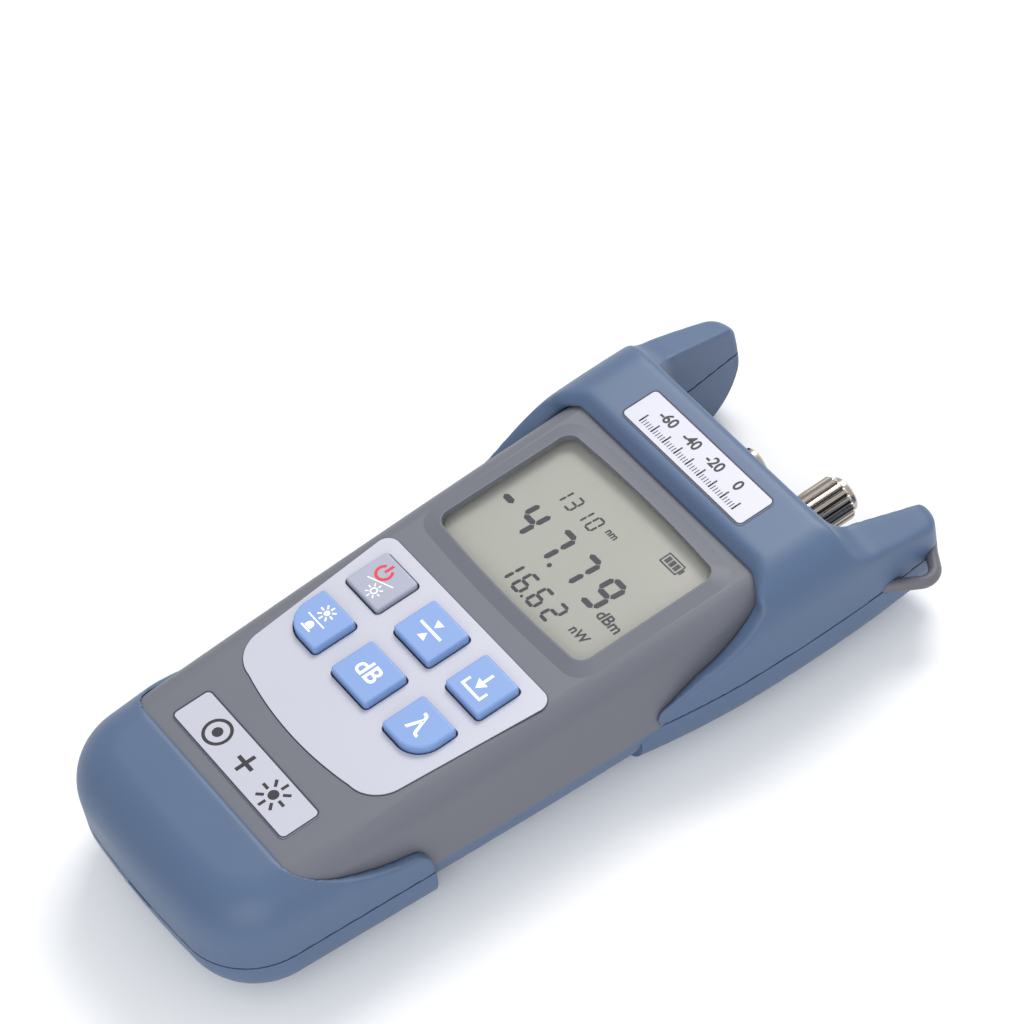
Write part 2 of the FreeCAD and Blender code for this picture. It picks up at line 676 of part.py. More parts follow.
low_half = box("low_half", -reach / 2, -reach, -S.wall, reach, 2 * reach, S.parting_height + S.wall)
high_half = box("high_half", -reach / 2, -reach, S.parting_height, reach, 2 * reach, deck_height)
cover_half = box("cover_half", -reach / 2, -reach, S.parting_height + S.seam_gap,
                 reach, 2 * reach, deck_height)


def boot_block(name, inset):
    """The boot's full block, front and back, drawn in by an inset."""
    end_line = boot_end + S.boot_bulge + inset
    end_half = S.boot_end_half - inset
    end_curve = S.boot_end_half * S.boot_end_half / (2 * S.boot_bulge)
    slab = prism(name + "_slab", "XY", inset, [
        (-end_half, end_line, end_curve),
        (end_half, end_line),
        (S.boot_half - inset, boot_shoulder),
        (inset - S.boot_half, boot_shoulder),
    ], boot_height - 2 * inset)

    def end_corner(edge):
        return stands(edge) and near(edge.BoundBox.YMax, end_line)

    cornered = rounded(name + "_cornered", slab, (S.boot_corner - inset, end_corner))

    def outer(edge):
        return edge.BoundBox.YMin < boot_shoulder.value - 1

    return rounded(
        name, cornered,
        (S.boot_top_round - inset, lambda edge: outer(edge) and lies_at(edge, z=boot_height - inset)),
        (S.boot_back_round - inset, lambda edge: outer(edge) and lies_at(edge, z=inset)))


def mirrored(name, thing):
    """The same form on the meter's left side."""
    twin = doc.addObject("Part::Mirroring", name)
    twin.Source = thing
    twin.Normal = V(1, 0, 0)
    twin.Base = V(0, 0, 0)
    return twin


def pair(name, thing):
    """A form and its twin on the left, as one object."""
    return fuse(name, thing, mirrored(name + "_twin", thing))


def head_envelope():
    """The head's block with its rounded long edges, drawn out past the horns."""
    front = horn_tips + S.wall
    slab = prism("head_slab", "XY", 0, [
        (-S.waist_half, head_start),
        (S.waist_half, head_start, S.shoulder_curve),
        (S.head_half, head_shoulder, S.flank_curve),
        (S.head_end_half, head_widest, S.horn_curve),
        (S.horn_tip_outer, front),
        (-S.horn_tip_outer, front, S.horn_curve),
        (-S.head_end_half, head_widest, S.flank_curve),
        (-S.head_half, head_shoulder, S.shoulder_curve),
    ], deck_height)

    def side(edge):
        return edge.BoundBox.YLength > 1 and abs(edge.CenterOfMass.x) > S.waist_half.value / 2

    return rounded(
        "head_envelope", slab,
        (S.head_top_round, lambda edge: side(edge) and lies_at(edge, z=deck_height)),
        (S.head_back_round, lambda edge: side(edge) and lies_at(edge, z=0)))


def horn_air():
    """The air round the horns: between them, over them and past their tips."""
    tip = horn_tips
    past = tip + S.wall * 4
    ground = -S.wall
    gap = prism("air_between_horns", "XY", ground, mirrored_corners([
        (S.horn_inner - S.horn_root_round, S.port_wall, S.horn_root_round),
        (S.horn_inner, S.port_wall + S.horn_root_round),
        (S.horn_tip_inner, tip - S.horn_tip_round, -S.horn_tip_round),
        (S.horn_tip_inner + S.horn_tip_round / 2, tip),
        (S.horn_tip_inner + S.horn_tip_round / 2, past),
    ]), reach / 4)
    corner = prism("air_past_corner", "XY", ground, [
        (S.horn_tip_outer + S.wall / 2, tip - S.horn_corner * 1.25, S.horn_corner * 1.2),
        (S.horn_tip_outer - S.horn_corner, tip),
        (S.horn_tip_outer - S.horn_corner, past),
        (reach / 2, past),
        (reach / 2, tip - S.horn_corner * 1.25),
    ], reach / 4)
    behind = prism("air_past_tips", "YZ", -reach / 2, [
        (tip - S.horn_back_round, ground),
        (tip - S.horn_back_round, 0, S.horn_back_round),
        (tip, S.horn_back_round),
        (tip, reach / 4),
        (past, reach / 4),
        (past, ground),
    ], reach)
    deck_edge = prism("air_at_deck_edge", "YZ", -reach / 2, [
        (S.port_wall - S.deck_edge_round, deck_height, -S.deck_edge_round),
        (S.port_wall, deck_height - S.deck_edge_round),
        (S.port_wall, reach / 4),
        (S.port_wall - S.deck_edge_round, reach / 4),
    ], reach)
    over = doc.addObject("Part::Extrusion", "air_over_horn")
    over.Base = outline("air_over_horn_outline", "YZ", S.horn_inner, [
        (S.port_wall, deck_height - S.deck_edge_round, S.horn_root_round * 1.1),
        (S.port_wall + S.horn_root_round, horn_root_height),
        (tip - S.horn_nose_round, horn_tip_height + S.horn_nose_round / 6, -S.horn_nose_round),
        (tip, horn_tip_height - S.horn_nose_round),
        (past, horn_tip_height - S.horn_nose_round),
        (past, reach / 3),
        (S.port_wall, reach / 3),
    ])
    over.DirMode = "Custom"
    over.Dir = V(1, 0, -S.horn_lean.value)
    over.Solid = True
    bind(over, LengthFwd=S.horn_sweep / 2, LengthRev=S.horn_sweep / 2)
    return fuse("horn_air", gap, behind, deck_edge,
                pair("air_past_corners", corner), pair("air_over_horns", over))


boot_form = boot_block("boot_form", Size.of(0))
head_form = cut("head_form", head_envelope(), horn_air())
pocket_start = S.port_wall - S.horn_root_round
pocket_end = horn_tips - S.horn_pocket_end
horn_pockets = pair("horn_pockets", prism("horn_pocket", "XY", S.horn_pocket_floor, [
    (S.horn_inner + S.horn_pocket_wall, pocket_start),
    (S.head_end_half - 1.7 * S.horn_pocket_wall, pocket_start),
    (S.horn_tip_outer - 1.1 * S.horn_pocket_wall, pocket_end),
    (S.horn_tip_inner + 0.7 * S.horn_pocket_wall, pocket_end),
], horn_tip_height - S.horn_pocket_wall - S.horn_pocket_floor))

# the grey face shows through two windows in the blue covers
boot_line_corner = boot_line + S.boot_line_rise
boot_line_curve = S.boot_line_half * S.boot_line_half / (2 * S.boot_line_rise)
boot_window_plan = prism("boot_window_plan", "XY", 0, [
    (-S.boot_line_half, boot_line_corner, boot_line_curve),
    (S.boot_line_half, boot_line_corner, S.boot_line_round),
    (S.boot_line_half + S.boot_line_side, boot_line_corner + S.boot_line_climb),
    (reach / 2, boot_line_corner + S.boot_line_run),
    (reach / 2, waist_station),
    (-reach / 2, waist_station),
    (-reach / 2, boot_line_corner + S.boot_line_run),
    (-S.boot_line_half - S.boot_line_side, boot_line_corner + S.boot_line_climb, S.boot_line_round),
], reach)
boot_window_side = prism("boot_window_side", "YZ", -reach / 2, [
    (boot_shoulder - S.boot_wing_run, S.boot_wing_height + S.boot_wing_climb, S.boot_wing_curve),
    (boot_shoulder - S.boot_wing_foot, S.boot_wing_height + S.boot_wing_lip),
    (boot_shoulder - S.boot_wing_nose, S.boot_wing_height, -S.boot_wing_nose),
    (boot_shoulder, S.boot_wing_height - S.boot_wing_nose),
    (boot_shoulder, 0),
    (waist_station, 0),
    (waist_station, reach / 2),
    (boot_shoulder - S.boot_wing_run, reach / 2),
], reach)
boot_window = common("boot_window", boot_window_plan, boot_window_side)


def brow(name, level, length, taper):
    """The grey face's outline under the head cap."""
    return prism(name, "XY", level, [
        (-reach / 2, waist_station),
        (reach / 2, waist_station),
        (reach / 2, brow_line - S.brow_end),
        (S.brow_half + S.brow_side, brow_line - S.brow_fall, S.brow_round),
        (S.brow_half, brow_line),
        (-S.brow_half, brow_line, S.brow_round),
        (-S.brow_half - S.brow_side, brow_line - S.brow_fall),
        (-reach / 2, brow_line - S.brow_end),
    ], length, taper)


def wing_profile(name, level, corners):
    """Side outline of the air above a head wing, from its lower tip upwards."""
    (tip, tip_height), (nose, nose_height), (root, root_height), top_height, curve = corners
    return outline(name, "YZ", level, [
        (waist_station, 0),
        (tip, 0),
        (tip, tip_height, -(nose - tip) * 1.05),
        (nose, nose_height),
        (root, root_height, curve),
        (brow_line + S.wing_top_run, top_height),
        (brow_line + S.wing_top_run, reach / 4),
        (waist_station, reach / 4),
    ])


wing_root = head_start + S.wing_root
inner_wing = [(head_start + S.inner_tip, S.parting_height + S.inner_tip_rise),
              (head_start + S.inner_nose, S.parting_height + S.inner_nose_rise),
              (wing_root, S.parting_height + S.inner_root_rise),
              S.parting_height + S.inner_top_rise, S.inner_curve]
outer_wing = [(head_start + S.outer_tip, S.parting_height + S.outer_tip_rise),
              (head_start + S.outer_nose, S.parting_height + S.outer_nose_rise),
              (wing_root, S.parting_height + S.outer_root_rise),
              S.parting_height + S.outer_top_rise, S.outer_curve]
inner_station = S.crown_half - S.wing_seat
wing_middle = doc.addObject("Part::Extrusion", "wing_middle")
wing_middle.Base = wing_profile("wing_middle_outline", -inner_station, inner_wing)
wing_middle.DirMode = "Custom"
wing_middle.Dir = V(1, 0, 0)
wing_middle.Solid = True
bind(wing_middle, LengthFwd=2 * inner_station)
wing_slope = doc.addObject("Part::Loft", "wing_slope")
wing_slope.Sections = [wing_profile("wing_inner_outline", inner_station, inner_wing),
                       wing_profile("wing_outer_outline", S.head_end_half + S.wing_over, outer_wing)]
wing_slope.Solid = True
wing_slope.Ruled = True
wing_air = fuse("wing_air", wing_middle, pair("wing_slopes", wing_slope))
brow_air = fuse("brow_air", brow("brow_below", 0, face_height, 0),
                brow("brow_above", face_height, deck_height, S.brow_slope))
head_window = common("head_window", wing_air, brow_air)


# --------------------------------------------------------------------------
# Shapes that several pieces share
# --------------------------------------------------------------------------
def rounded_rectangle(x, y, width, height, radius, bow=None):
    """Corners of a rectangle with round corners, and bowed long edges if asked."""
    half_w, half_h = width / 2, height / 2
    flat = half_w - radius
    low_edge = (x - flat, y - half_h)
    top_edge = (x + flat, y + half_h)
    if bow is not None:
        curve = flat * flat / (2 * bow)
        low_edge += (curve,)
        top_edge += (curve,)
    return [
        low_edge,
        (x + flat, y - half_h, radius),
        (x + half_w, y - half_h + radius),
        (x + half_w, y + half_h - radius, radius),
        top_edge,
        (x - flat, y + half_h, radius),
        (x - half_w, y + half_h - radius),
        (x - half_w, y - half_h + radius, radius),
    ]


def key_corners(x, y, width, low_left, low_right, grow):
    """A key's outline with its own radius at the two lower corners."""
    half_w = width / 2 + grow
    half_h = S.key_length / 2 + grow
    corner, low_left, low_right = S.key_corner + grow, low_left + grow, low_right + grow
    return [
        (x - half_w + low_left, y - half_h),
        (x + half_w - low_right, y - half_h, low_right),
        (x + half_w, y - half_h + low_right),
        (x + half_w, y + half_h - corner, corner),
        (x + half_w - corner, y + half_h),
        (x - half_w + corner, y + half_h, corner),
        (x - half_w, y + half_h - corner),
        (x - half_w, y - half_h + low_left, low_left),
    ]


def turned(name, x, y, z, along, profile):
    """Turned body: (radius, along) corners spun about an axis, as a PartDesign body."""
    body = doc.addObject("PartDesign::Body", name)
    sketch = body.newObject("Sketcher::SketchObject", name + "_profile")
    plane = [item for item in body.Origin.OriginFeatures if item.Role == "XZ_Plane"][0]
    sketch.AttachmentSupport = [(plane, "")]
    sketch.MapMode = "FlatFace"
    draw(sketch, profile)
    spin = body.newObject("PartDesign::Revolution", name + "_spin")
    spin.Profile = sketch
    spin.ReferenceAxis = (sketch, ["V_Axis"])
    spin.Angle = 360
    turns = {
        "Z": FreeCAD.Rotation(),
        "Y": FreeCAD.Rotation(V(1, 0, 0), -90),
        "-Y": FreeCAD.Rotation(V(1, 0, 0), 90),
    }
    body.Placement = FreeCAD.Placement(V(), turns[along])
    place(body, x, y, z)
    return body


# --------------------------------------------------------------------------
# Ports, and the holes they need
# --------------------------------------------------------------------------
port_height = S.parting_height
casing_end = crown_end - S.wall


def port_holes(name, growth):
    """The three holes through the port wall."""
    return fuse(name, *[
        rod("%s_%d" % (name, number), x, S.port_wall / 2, port_height, radius + growth, S.port_wall, "Y")
        for number, (x, radius) in enumerate(
            [(S.port_x, S.port_radius), (S.finder_x, S.port_radius), (S.torch_x, S.torch_radius)])])


wall_holes = port_holes("wall_holes", S.cover_gap)

port_back = casing_end - S.port_depth
optical_port = turned("optical_port", S.port_x, 0, port_height, "Y", [
    (S.ferrule_radius, port_back + S.port_bore_depth),
    (S.port_bore, port_back + S.port_bore_depth),
    (S.port_bore, port_back),
    (S.port_radius, port_back),
    (S.port_radius, S.port_wall),
    (S.flange_radius, S.port_wall),
    (S.flange_radius, S.port_wall + S.port_flange),
    (S.port_radius, S.port_wall + S.port_flange),
    (S.port_radius, S.port_wall + S.barrel_reach),
    (S.ferrule_radius, S.port_wall + S.barrel_reach),
])
photodiode = turned("photodiode", S.port_x, 0, port_height, "Y", [
    (0, port_back - S.diode_base),
    (S.diode_flange, port_back - S.diode_base),
    (S.diode_flange, port_back),
    (S.diode_radius, port_back),
    (S.diode_radius, port_back + S.diode_length),
    (0, port_back + S.diode_length),
])
finder_port = turned("finder_port", S.finder_x, 0, port_height, "Y", [
    (S.ferrule_radius, port_back),
    (S.port_radius, port_back),
    (S.port_radius, S.port_wall),
    (S.port_radius + S.finder_flange, S.port_wall),
    (S.port_radius + S.finder_flange, S.port_wall + S.finder_flange),
    (S.port_radius, S.port_wall + S.finder_flange),
    (S.port_radius, S.port_wall + S.finder_reach - S.port_bevel),
    (S.port_radius - S.port_bevel, S.port_wall + S.finder_reach),
    (S.ferrule_radius, S.port_wall + S.finder_reach),
])
laser_module = turned("laser_module", S.finder_x, 0, port_height, "Y", [
    (0, port_back - S.laser_length),
    (S.laser_neck, port_back - S.laser_length),
    (S.laser_neck, port_back - S.laser_length + S.laser_neck_length),
    (S.laser_radius, port_back - S.laser_length + S.laser_neck_length),
    (S.laser_radius, port_back),
    (0, port_back),
])
torch_lamp = turned("torch_lamp", S.torch_x, 0, port_height, "Y", [
    (0, casing_end - S.torch_flange),
    (S.torch_radius + S.torch_lip, casing_end - S.torch_flange),
    (S.torch_radius + S.torch_lip, casing_end),
    (S.torch_radius, casing_end),
    (S.torch_radius, S.port_wall + S.torch_proud, S.torch_radius),
    (0, S.port_wall + S.torch_proud + S.torch_radius),
])
port_nuts = fuse("port_nuts", *[
    turned("port_nut_%d" % number, x, 0, port_height, "Y", [
        (S.port_radius + S.nut_air, casing_end - S.nut_thickness),
        (S.port_radius + S.nut_width, casing_end - S.nut_thickness),
        (S.port_radius + S.nut_width, casing_end),
        (S.port_radius + S.nut_air, casing_end),
    ]) for number, x in enumerate((S.port_x, S.finder_x))])

adapter_back = S.port_wall + S.adapter_start
adapter_front = adapter_back + S.adapter_length
nose_end = adapter_front + S.adapter_nose
barrel_end = S.port_wall + S.barrel_reach
adapter_bore = S.port_radius + S.thread_gap
adapter_blank = turned("adapter_blank", S.port_x, 0, port_height, "Y", [
    (adapter_bore, adapter_back),
    (S.adapter_radius - S.adapter_bevel, adapter_back),
    (S.adapter_radius, adapter_back + S.adapter_bevel),
    (S.adapter_radius, adapter_front - S.adapter_bevel),
    (S.adapter_radius - S.adapter_bevel, adapter_front),
    (S.adapter_nose_radius, adapter_front),
    (S.adapter_nose_radius, nose_end - S.nose_bevel),
    (S.adapter_nose_radius - S.nose_bevel, nose_end),
    (S.ferrule_radius, nose_end),
    (S.ferrule_radius, barrel_end + S.barrel_air),
    (adapter_bore, barrel_end + S.barrel_air),
])
FLUTES = 18
flutes = []
for number in range(FLUTES):
    angle = math.radians(360.0 * (number + 0.5) / FLUTES)
    flutes.append(rod("flute_%d" % number, S.port_x + S.adapter_radius * math.cos(angle),
                      adapter_back - S.flute_radius, port_height + S.adapter_radius * math.sin(angle),
                      S.flute_radius, S.adapter_length + S.flute_radius, "Y"))
port_adapter = cut("port_adapter", adapter_blank, fuse("adapter_flutes", *flutes))


# --------------------------------------------------------------------------
# Lanyard loop
# --------------------------------------------------------------------------
loop_start = (S.head_end_half - S.loop_sink, horn_tips - S.loop_start_inset)
loop_corner = (S.head_end_half + S.loop_stand, horn_tips - S.loop_corner_inset)
loop_end = (S.horn_tip_outer - S.loop_end_sink, horn_tips - S.loop_end_inset)


def loop_path(name):
    """Two straight legs joined by one bend, in the seam's plane."""
    sketch = doc.addObject("Sketcher::SketchObject", name)
    start, corner, end = [V(spot[0].value, spot[1].value, 0) for spot in (loop_start, loop_corner, loop_end)]
    leg_in, leg_out = (corner - start).normalize(), (end - corner).normalize()
    turn = leg_in.getAngle(leg_out)
    trim = S.loop_bend.value * math.tan(turn / 2)
    bend_start, bend_end = corner - leg_in * trim, corner + leg_out * trim
    sketch.addGeometry(Part.LineSegment(start, bend_start), False)
    bend, first, last = arc_between(bend_start, bend_end, S.loop_bend.value)
    sketch.addGeometry(bend, False)
    sketch.addGeometry(Part.LineSegment(bend_end, end), False)
    sketch.addGeometry(Part.Point(corner), True)
    sketch.addConstraint(Sketcher.Constraint("Tangent", 0, 2, 1, first))
    sketch.addConstraint(Sketcher.Constraint("Tangent", 1, last, 2, 1))
    sketch.addConstraint(Sketcher.Constraint("PointOnObject", 3, 1, 0))
    sketch.addConstraint(Sketcher.Constraint("PointOnObject", 3, 1, 2))
    for geometry, point, spot in ((0, 1, loop_start), (3, 1, loop_corner), (2, 2, loop_end)):
        for kind, amount in zip(("DistanceX", "DistanceY"), spot):
            number = sketch.addConstraint(Sketcher.Constraint(kind, -1, 1, geometry, point, amount.value))
            sketch.setExpression("Constraints[%d]" % number, amount.text)
    number = sketch.addConstraint(Sketcher.Constraint("Radius", 1, S.loop_bend.value))
    sketch.setExpression("Constraints[%d]" % number, S.loop_bend.text)
    sketch.setExpression("Placement.Base.z", S.parting_height.text)
    return sketch


def loop_rod(name, radius):
    """Round rod swept along the loop's path."""
    path = loop_path(name + "_path")
    ring = doc.addObject("Part::Circle", name + "_section")
    start, corner = [V(spot[0].value, spot[1].value, 0) for spot in (loop_start, loop_corner)]
    ring.Placement = FreeCAD.Placement(V(), FreeCAD.Rotation(V(0, 0, 1), corner - start))
    bind(ring, Radius=radius)
    place(ring, loop_start[0], loop_start[1], S.parting_height)
    sweep = doc.addObject("Part::Sweep", name)
    sweep.Sections = [ring]
    sweep.Spine = (path, ["Edge1", "Edge2", "Edge3"])
    sweep.Solid = True
    sweep.Frenet = False
    return sweep


lanyard_loop = loop_rod("lanyard_loop", S.loop_rod)
loop_groove = loop_rod("loop_groove", S.loop_rod + S.loop_fit)

# --------------------------------------------------------------------------
# Screws and their posts
# --------------------------------------------------------------------------
screw_spots = [(-S.head_screw_x, head_screw_y), (S.head_screw_x, head_screw_y),
               (-S.boot_screw_x, boot_screw_y), (S.boot_screw_x, boot_screw_y)]
screw_outside = S.screw_head_depth - S.screw_head_height
screw_end = S.screw_head_depth + S.screw_length


def at_screws(name, bottom, radius, height):
    """The same rod at each casing screw."""
    return fuse(name, *[rod("%s_%d" % (name, number), x, y, bottom, radius, height)
                        for number, (x, y) in enumerate(screw_spots)])


case_screws = fuse("case_screws", *[
    turned("case_screw_%d" % number, x, y, 0, "Z", [
        (0, screw_outside + S.screw_socket_depth),
        (S.screw_socket, screw_outside + S.screw_socket_depth),
        (S.screw_socket, screw_outside),
        (S.screw_head_radius - S.screw_bevel, screw_outside),
        (S.screw_head_radius, screw_outside + S.screw_bevel),
        (S.screw_head_radius, S.screw_head_depth),
        (S.screw_radius, S.screw_head_depth),
        (S.screw_radius, screw_end - S.screw_point_length),
        (S.screw_point, screw_end),
        (0, screw_end),
    ]) for number, (x, y) in enumerate(screw_spots)])

board_screw_x = S.board_half - S.board_screw_inset
board_spots = [(sign * board_screw_x, y) for sign in (-1, 1) for y in (upper_post, lower_post)]


def at_posts(name, bottom, radius, height):
    """The same rod at each board post."""
    return fuse(name, *[rod("%s_%d" % (name, number), x, y, bottom, radius, height)
                        for number, (x, y) in enumerate(board_spots)])


board_screws = fuse("board_screws", *[
    turned("board_screw_%d" % number, x, y, 0, "Z", [
        (0, board_height - S.board_screw_head_height),
        (S.board_screw_head, board_height - S.board_screw_head_height),
        (S.board_screw_head, board_height),
        (S.board_screw_radius, board_height),
        (S.board_screw_radius, board_height + S.board_screw_length),
        (0, board_height + S.board_screw_length),
    ]) for number, (x, y) in enumerate(board_spots)])

# --------------------------------------------------------------------------
# Display
# --------------------------------------------------------------------------
lens_width = S.window_width + 2 * S.lens_lap
lens_height = S.window_height + 2 * S.lens_lap
glass_width = lens_width - 2 * S.glass_inset
glass_low = window_centre - S.window_height / 2 - S.glass_low_lap
glass_high = window_centre + S.window_height / 2 + S.glass_high_lap
guide_high = glass_high - S.strip_width - 2 * S.strip_air

window_hole = prism("window_hole", "XY", glass_bottom, rounded_rectangle(
    Size.of(0), window_centre, S.window_width, S.window_height, S.window_corner, S.window_bow), reach / 4)
seat_bottom = face_height - S.wall - S.seat_margin
lens_seat = prism("lens_seat", "XY", seat_bottom, rounded_rectangle(
    Size.of(0), window_centre, lens_width + 2 * S.lens_air, lens_height + 2 * S.lens_air, S.lens_corner),
    lens_top - seat_bottom)


def bezel_section(name, level, border, corner):
    """The frame's outline at a level, a border outside the opening."""
    return outline(name, "XY", level, rounded_rectangle(
        Size.of(0), window_centre, S.window_width + 2 * border, S.window_height + 2 * border,
        S.window_corner + corner, S.window_bow))


bezel = doc.addObject("Part::Loft", "bezel")
bezel.Sections = [
    bezel_section("bezel_foot", face_height - S.bezel_rise / 2, 1.5 * S.bezel_border - S.bezel_lip / 2,
                  1.5 * S.bezel_round),
    bezel_section("bezel_top", frame_top, S.bezel_lip, S.bezel_lip),
]
bezel.Solid = True
bezel.Ruled = True
window_lens = prism("window_lens", "XY", lens_bottom, rounded_rectangle(
    Size.of(0), window_centre, lens_width, lens_height, S.lens_corner), S.lens_thickness)
display_glass = box("display_glass", -glass_width / 2, glass_low, glass_bottom,
                    glass_width, glass_high - glass_low, S.glass_thickness)
light_guide = box("light_guide", -glass_width / 2, glass_low, guide_bottom,
                  glass_width, guide_high - glass_low, S.light_thickness)
strip_half = glass_width / 2 - S.strip_inset
contact_strip = box("contact_strip", -strip_half, guide_high + S.strip_air, board_top_face,
                    2 * strip_half, S.strip_width, glass_bottom - board_top_face)
tray_half = glass_width / 2 + S.tray_air
tray_depth = glass_high - glass_low + 2 * S.tray_air
tray_outer = box("tray_outer", -tray_half - S.tray_wall, glass_low - S.tray_air - S.tray_wall, board_top_face,
                 2 * (tray_half + S.tray_wall), tray_depth + 2 * S.tray_wall,
                 glass_top - board_top_face - S.display_gap)
tray_inner = box("tray_inner", -tray_half, glass_low - S.tray_air, guide_bottom,
                 2 * tray_half, tray_depth, reach / 4)
slot_half = strip_half + S.strip_air
tray_slot = box("tray_slot", -slot_half, guide_high, board_top_face - S.tray_wall,
                2 * slot_half, S.strip_width + 2 * S.strip_air, reach / 4)
display_tray = cut("display_tray", tray_outer, fuse("tray_hollow", tray_inner, tray_slot))

# --------------------------------------------------------------------------
# Keypad
# --------------------------------------------------------------------------
left_column = S.key_offset - S.key_pitch
right_column = S.key_offset + S.key_pitch
plain = S.key_corner
KEYS = [
    ("power_key", left_column, upper_row, S.side_key_width, plain, plain, S.power_key_rise),
    ("reference_key", S.key_offset, upper_row, S.middle_key_width, plain, plain, S.key_rise),
    ("store_key", right_column, upper_row, S.side_key_width, plain, plain, S.key_rise),
    ("light_key", left_column, lower_row, S.side_key_width, S.key_big_corner, plain, S.key_rise),
    ("decibel_key", S.key_offset, lower_row, S.middle_key_width, plain, plain, S.key_rise),
    ("wavelength_key", right_column, lower_row, S.side_key_width, plain, S.key_big_corner, S.key_rise),
]
flange_top = face_height - S.wall - S.flange_air
flange_bottom = flange_top - S.flange_thickness
mat_top = flange_bottom - S.key_travel - S.mat_air
mat_bottom = mat_top - S.mat_thickness

key_nodes = []
for name, x, y, width, low_left, low_right, rise in KEYS:
    stem = prism(name + "_stem", "XY", flange_bottom,
                 key_corners(x, y, width, low_left, low_right, Size.of(0)),
                 face_height + rise - flange_bottom)
    crown = rounded(name + "_crown", stem,
                    (S.key_edge, lambda edge, top=face_height + rise: lies_at(edge, z=top)))
    flange = prism(name + "_flange", "XY", flange_bottom,
                   key_corners(x, y, width, low_left, low_right, S.key_flange), S.flange_thickness)
    key_nodes.append(fuse(name, crown, flange))

key_holes = fuse("key_holes", *[
    prism(name + "_hole", "XY", face_height - 2 * S.wall,
          key_corners(x, y, width, low_left, low_right, S.key_gap), reach / 4)
    for name, x, y, width, low_left, low_right, rise in KEYS])

mat_border = S.key_flange + S.mat_margin + S.mat_rim
mat_left = left_column - S.side_key_width / 2 - mat_border
mat_right = right_column + S.side_key_width / 2 + mat_border
mat_low = lower_row - S.key_length / 2 - mat_border
mat_high = upper_row + S.key_length / 2 + mat_border
mat_block = box("mat_block", mat_left, mat_low, mat_bottom, mat_right - mat_left, mat_high - mat_low,
                face_height - S.wall - mat_bottom)
mat_hollow = box("mat_hollow", mat_left + S.mat_rim, mat_low + S.mat_rim, mat_top,
                 mat_right - mat_left - 2 * S.mat_rim, mat_high - mat_low - 2 * S.mat_rim, reach / 4)
dome_top = board_top_face + S.dome_rise
pillar_foot = dome_top + S.key_travel
mat_pillars = [rod(name + "_pillar", x, y, pillar_foot, S.mat_pillar, mat_top - pillar_foot)
               for name, x, y, width, low_left, low_right, rise in KEYS]
key_mat = fuse("key_mat", cut("mat_tray", mat_block, mat_hollow), *mat_pillars)

domes = []
for name, x, y, width, low_left, low_right, rise in KEYS:
    dome = doc.addObject("Part::Cone", name + "_dome")
    bind(dome, Radius1=S.dome_radius, Radius2=S.dome_radius / 3, Height=S.dome_rise)
    place(dome, x, y, board_top_face)
    domes.append(dome)
snap_domes = fuse("snap_domes", *domes)

overlay_foot = overlay_bottom + S.overlay_bow
overlay_foot_half = S.overlay_low_half - S.overlay_low_side
overlay_knee = overlay_foot + S.overlay_low_climb
overlay_blank = prism("overlay_blank", "XY", face_height, [
    (-overlay_foot_half, overlay_foot, overlay_foot_half * overlay_foot_half / (2 * S.overlay_bow)),
    (overlay_foot_half, overlay_foot, S.overlay_low_corner),
    (S.overlay_low_half, overlay_knee),
    (S.overlay_half, overlay_top - S.overlay_corner, S.overlay_corner),
    (S.overlay_half - S.overlay_corner, overlay_top),
    (S.overlay_corner - S.overlay_half, overlay_top, S.overlay_corner),
    (-S.overlay_half, overlay_top - S.overlay_corner),
    (-S.overlay_low_half, overlay_knee, S.overlay_low_corner),
], S.label_thickness)
keypad_overlay = cut("keypad_overlay", overlay_blank, key_holes)


def label(name, centre, level):
    """Thin pad with round corners."""
    return prism(name, "XY", level, rounded_rectangle(
        Size.of(0), centre, S.label_width, S.label_height, S.label_corner), S.label_thickness)


top_label = label("top_label", top_label_centre, deck_height)
bottom_label = label("bottom_label", bottom_label_centre, face_height)

# --------------------------------------------------------------------------
# Circuit board and what sits under it
# --------------------------------------------------------------------------
board_blank = box("board_blank", -S.board_half, board_bottom, board_height,
                  2 * S.board_half, board_top - board_bottom, S.board_thickness)
circuit_board = cut("circuit_board", board_blank,
                    at_posts("board_holes", board_height - S.board_thickness,
                             S.board_screw_radius + S.board_hole_air, 3 * S.board_thickness))
processor = box("processor", S.processor_x - S.processor_size / 2,
                window_centre - S.processor_drop - S.processor_size / 2, board_height - S.processor_height,
                S.processor_size, S.processor_size, S.processor_height)
buzzer = rod("buzzer", S.buzzer_x, window_centre + S.buzzer_lift, board_height - S.buzzer_height,
             S.buzzer_radius, S.buzzer_height)

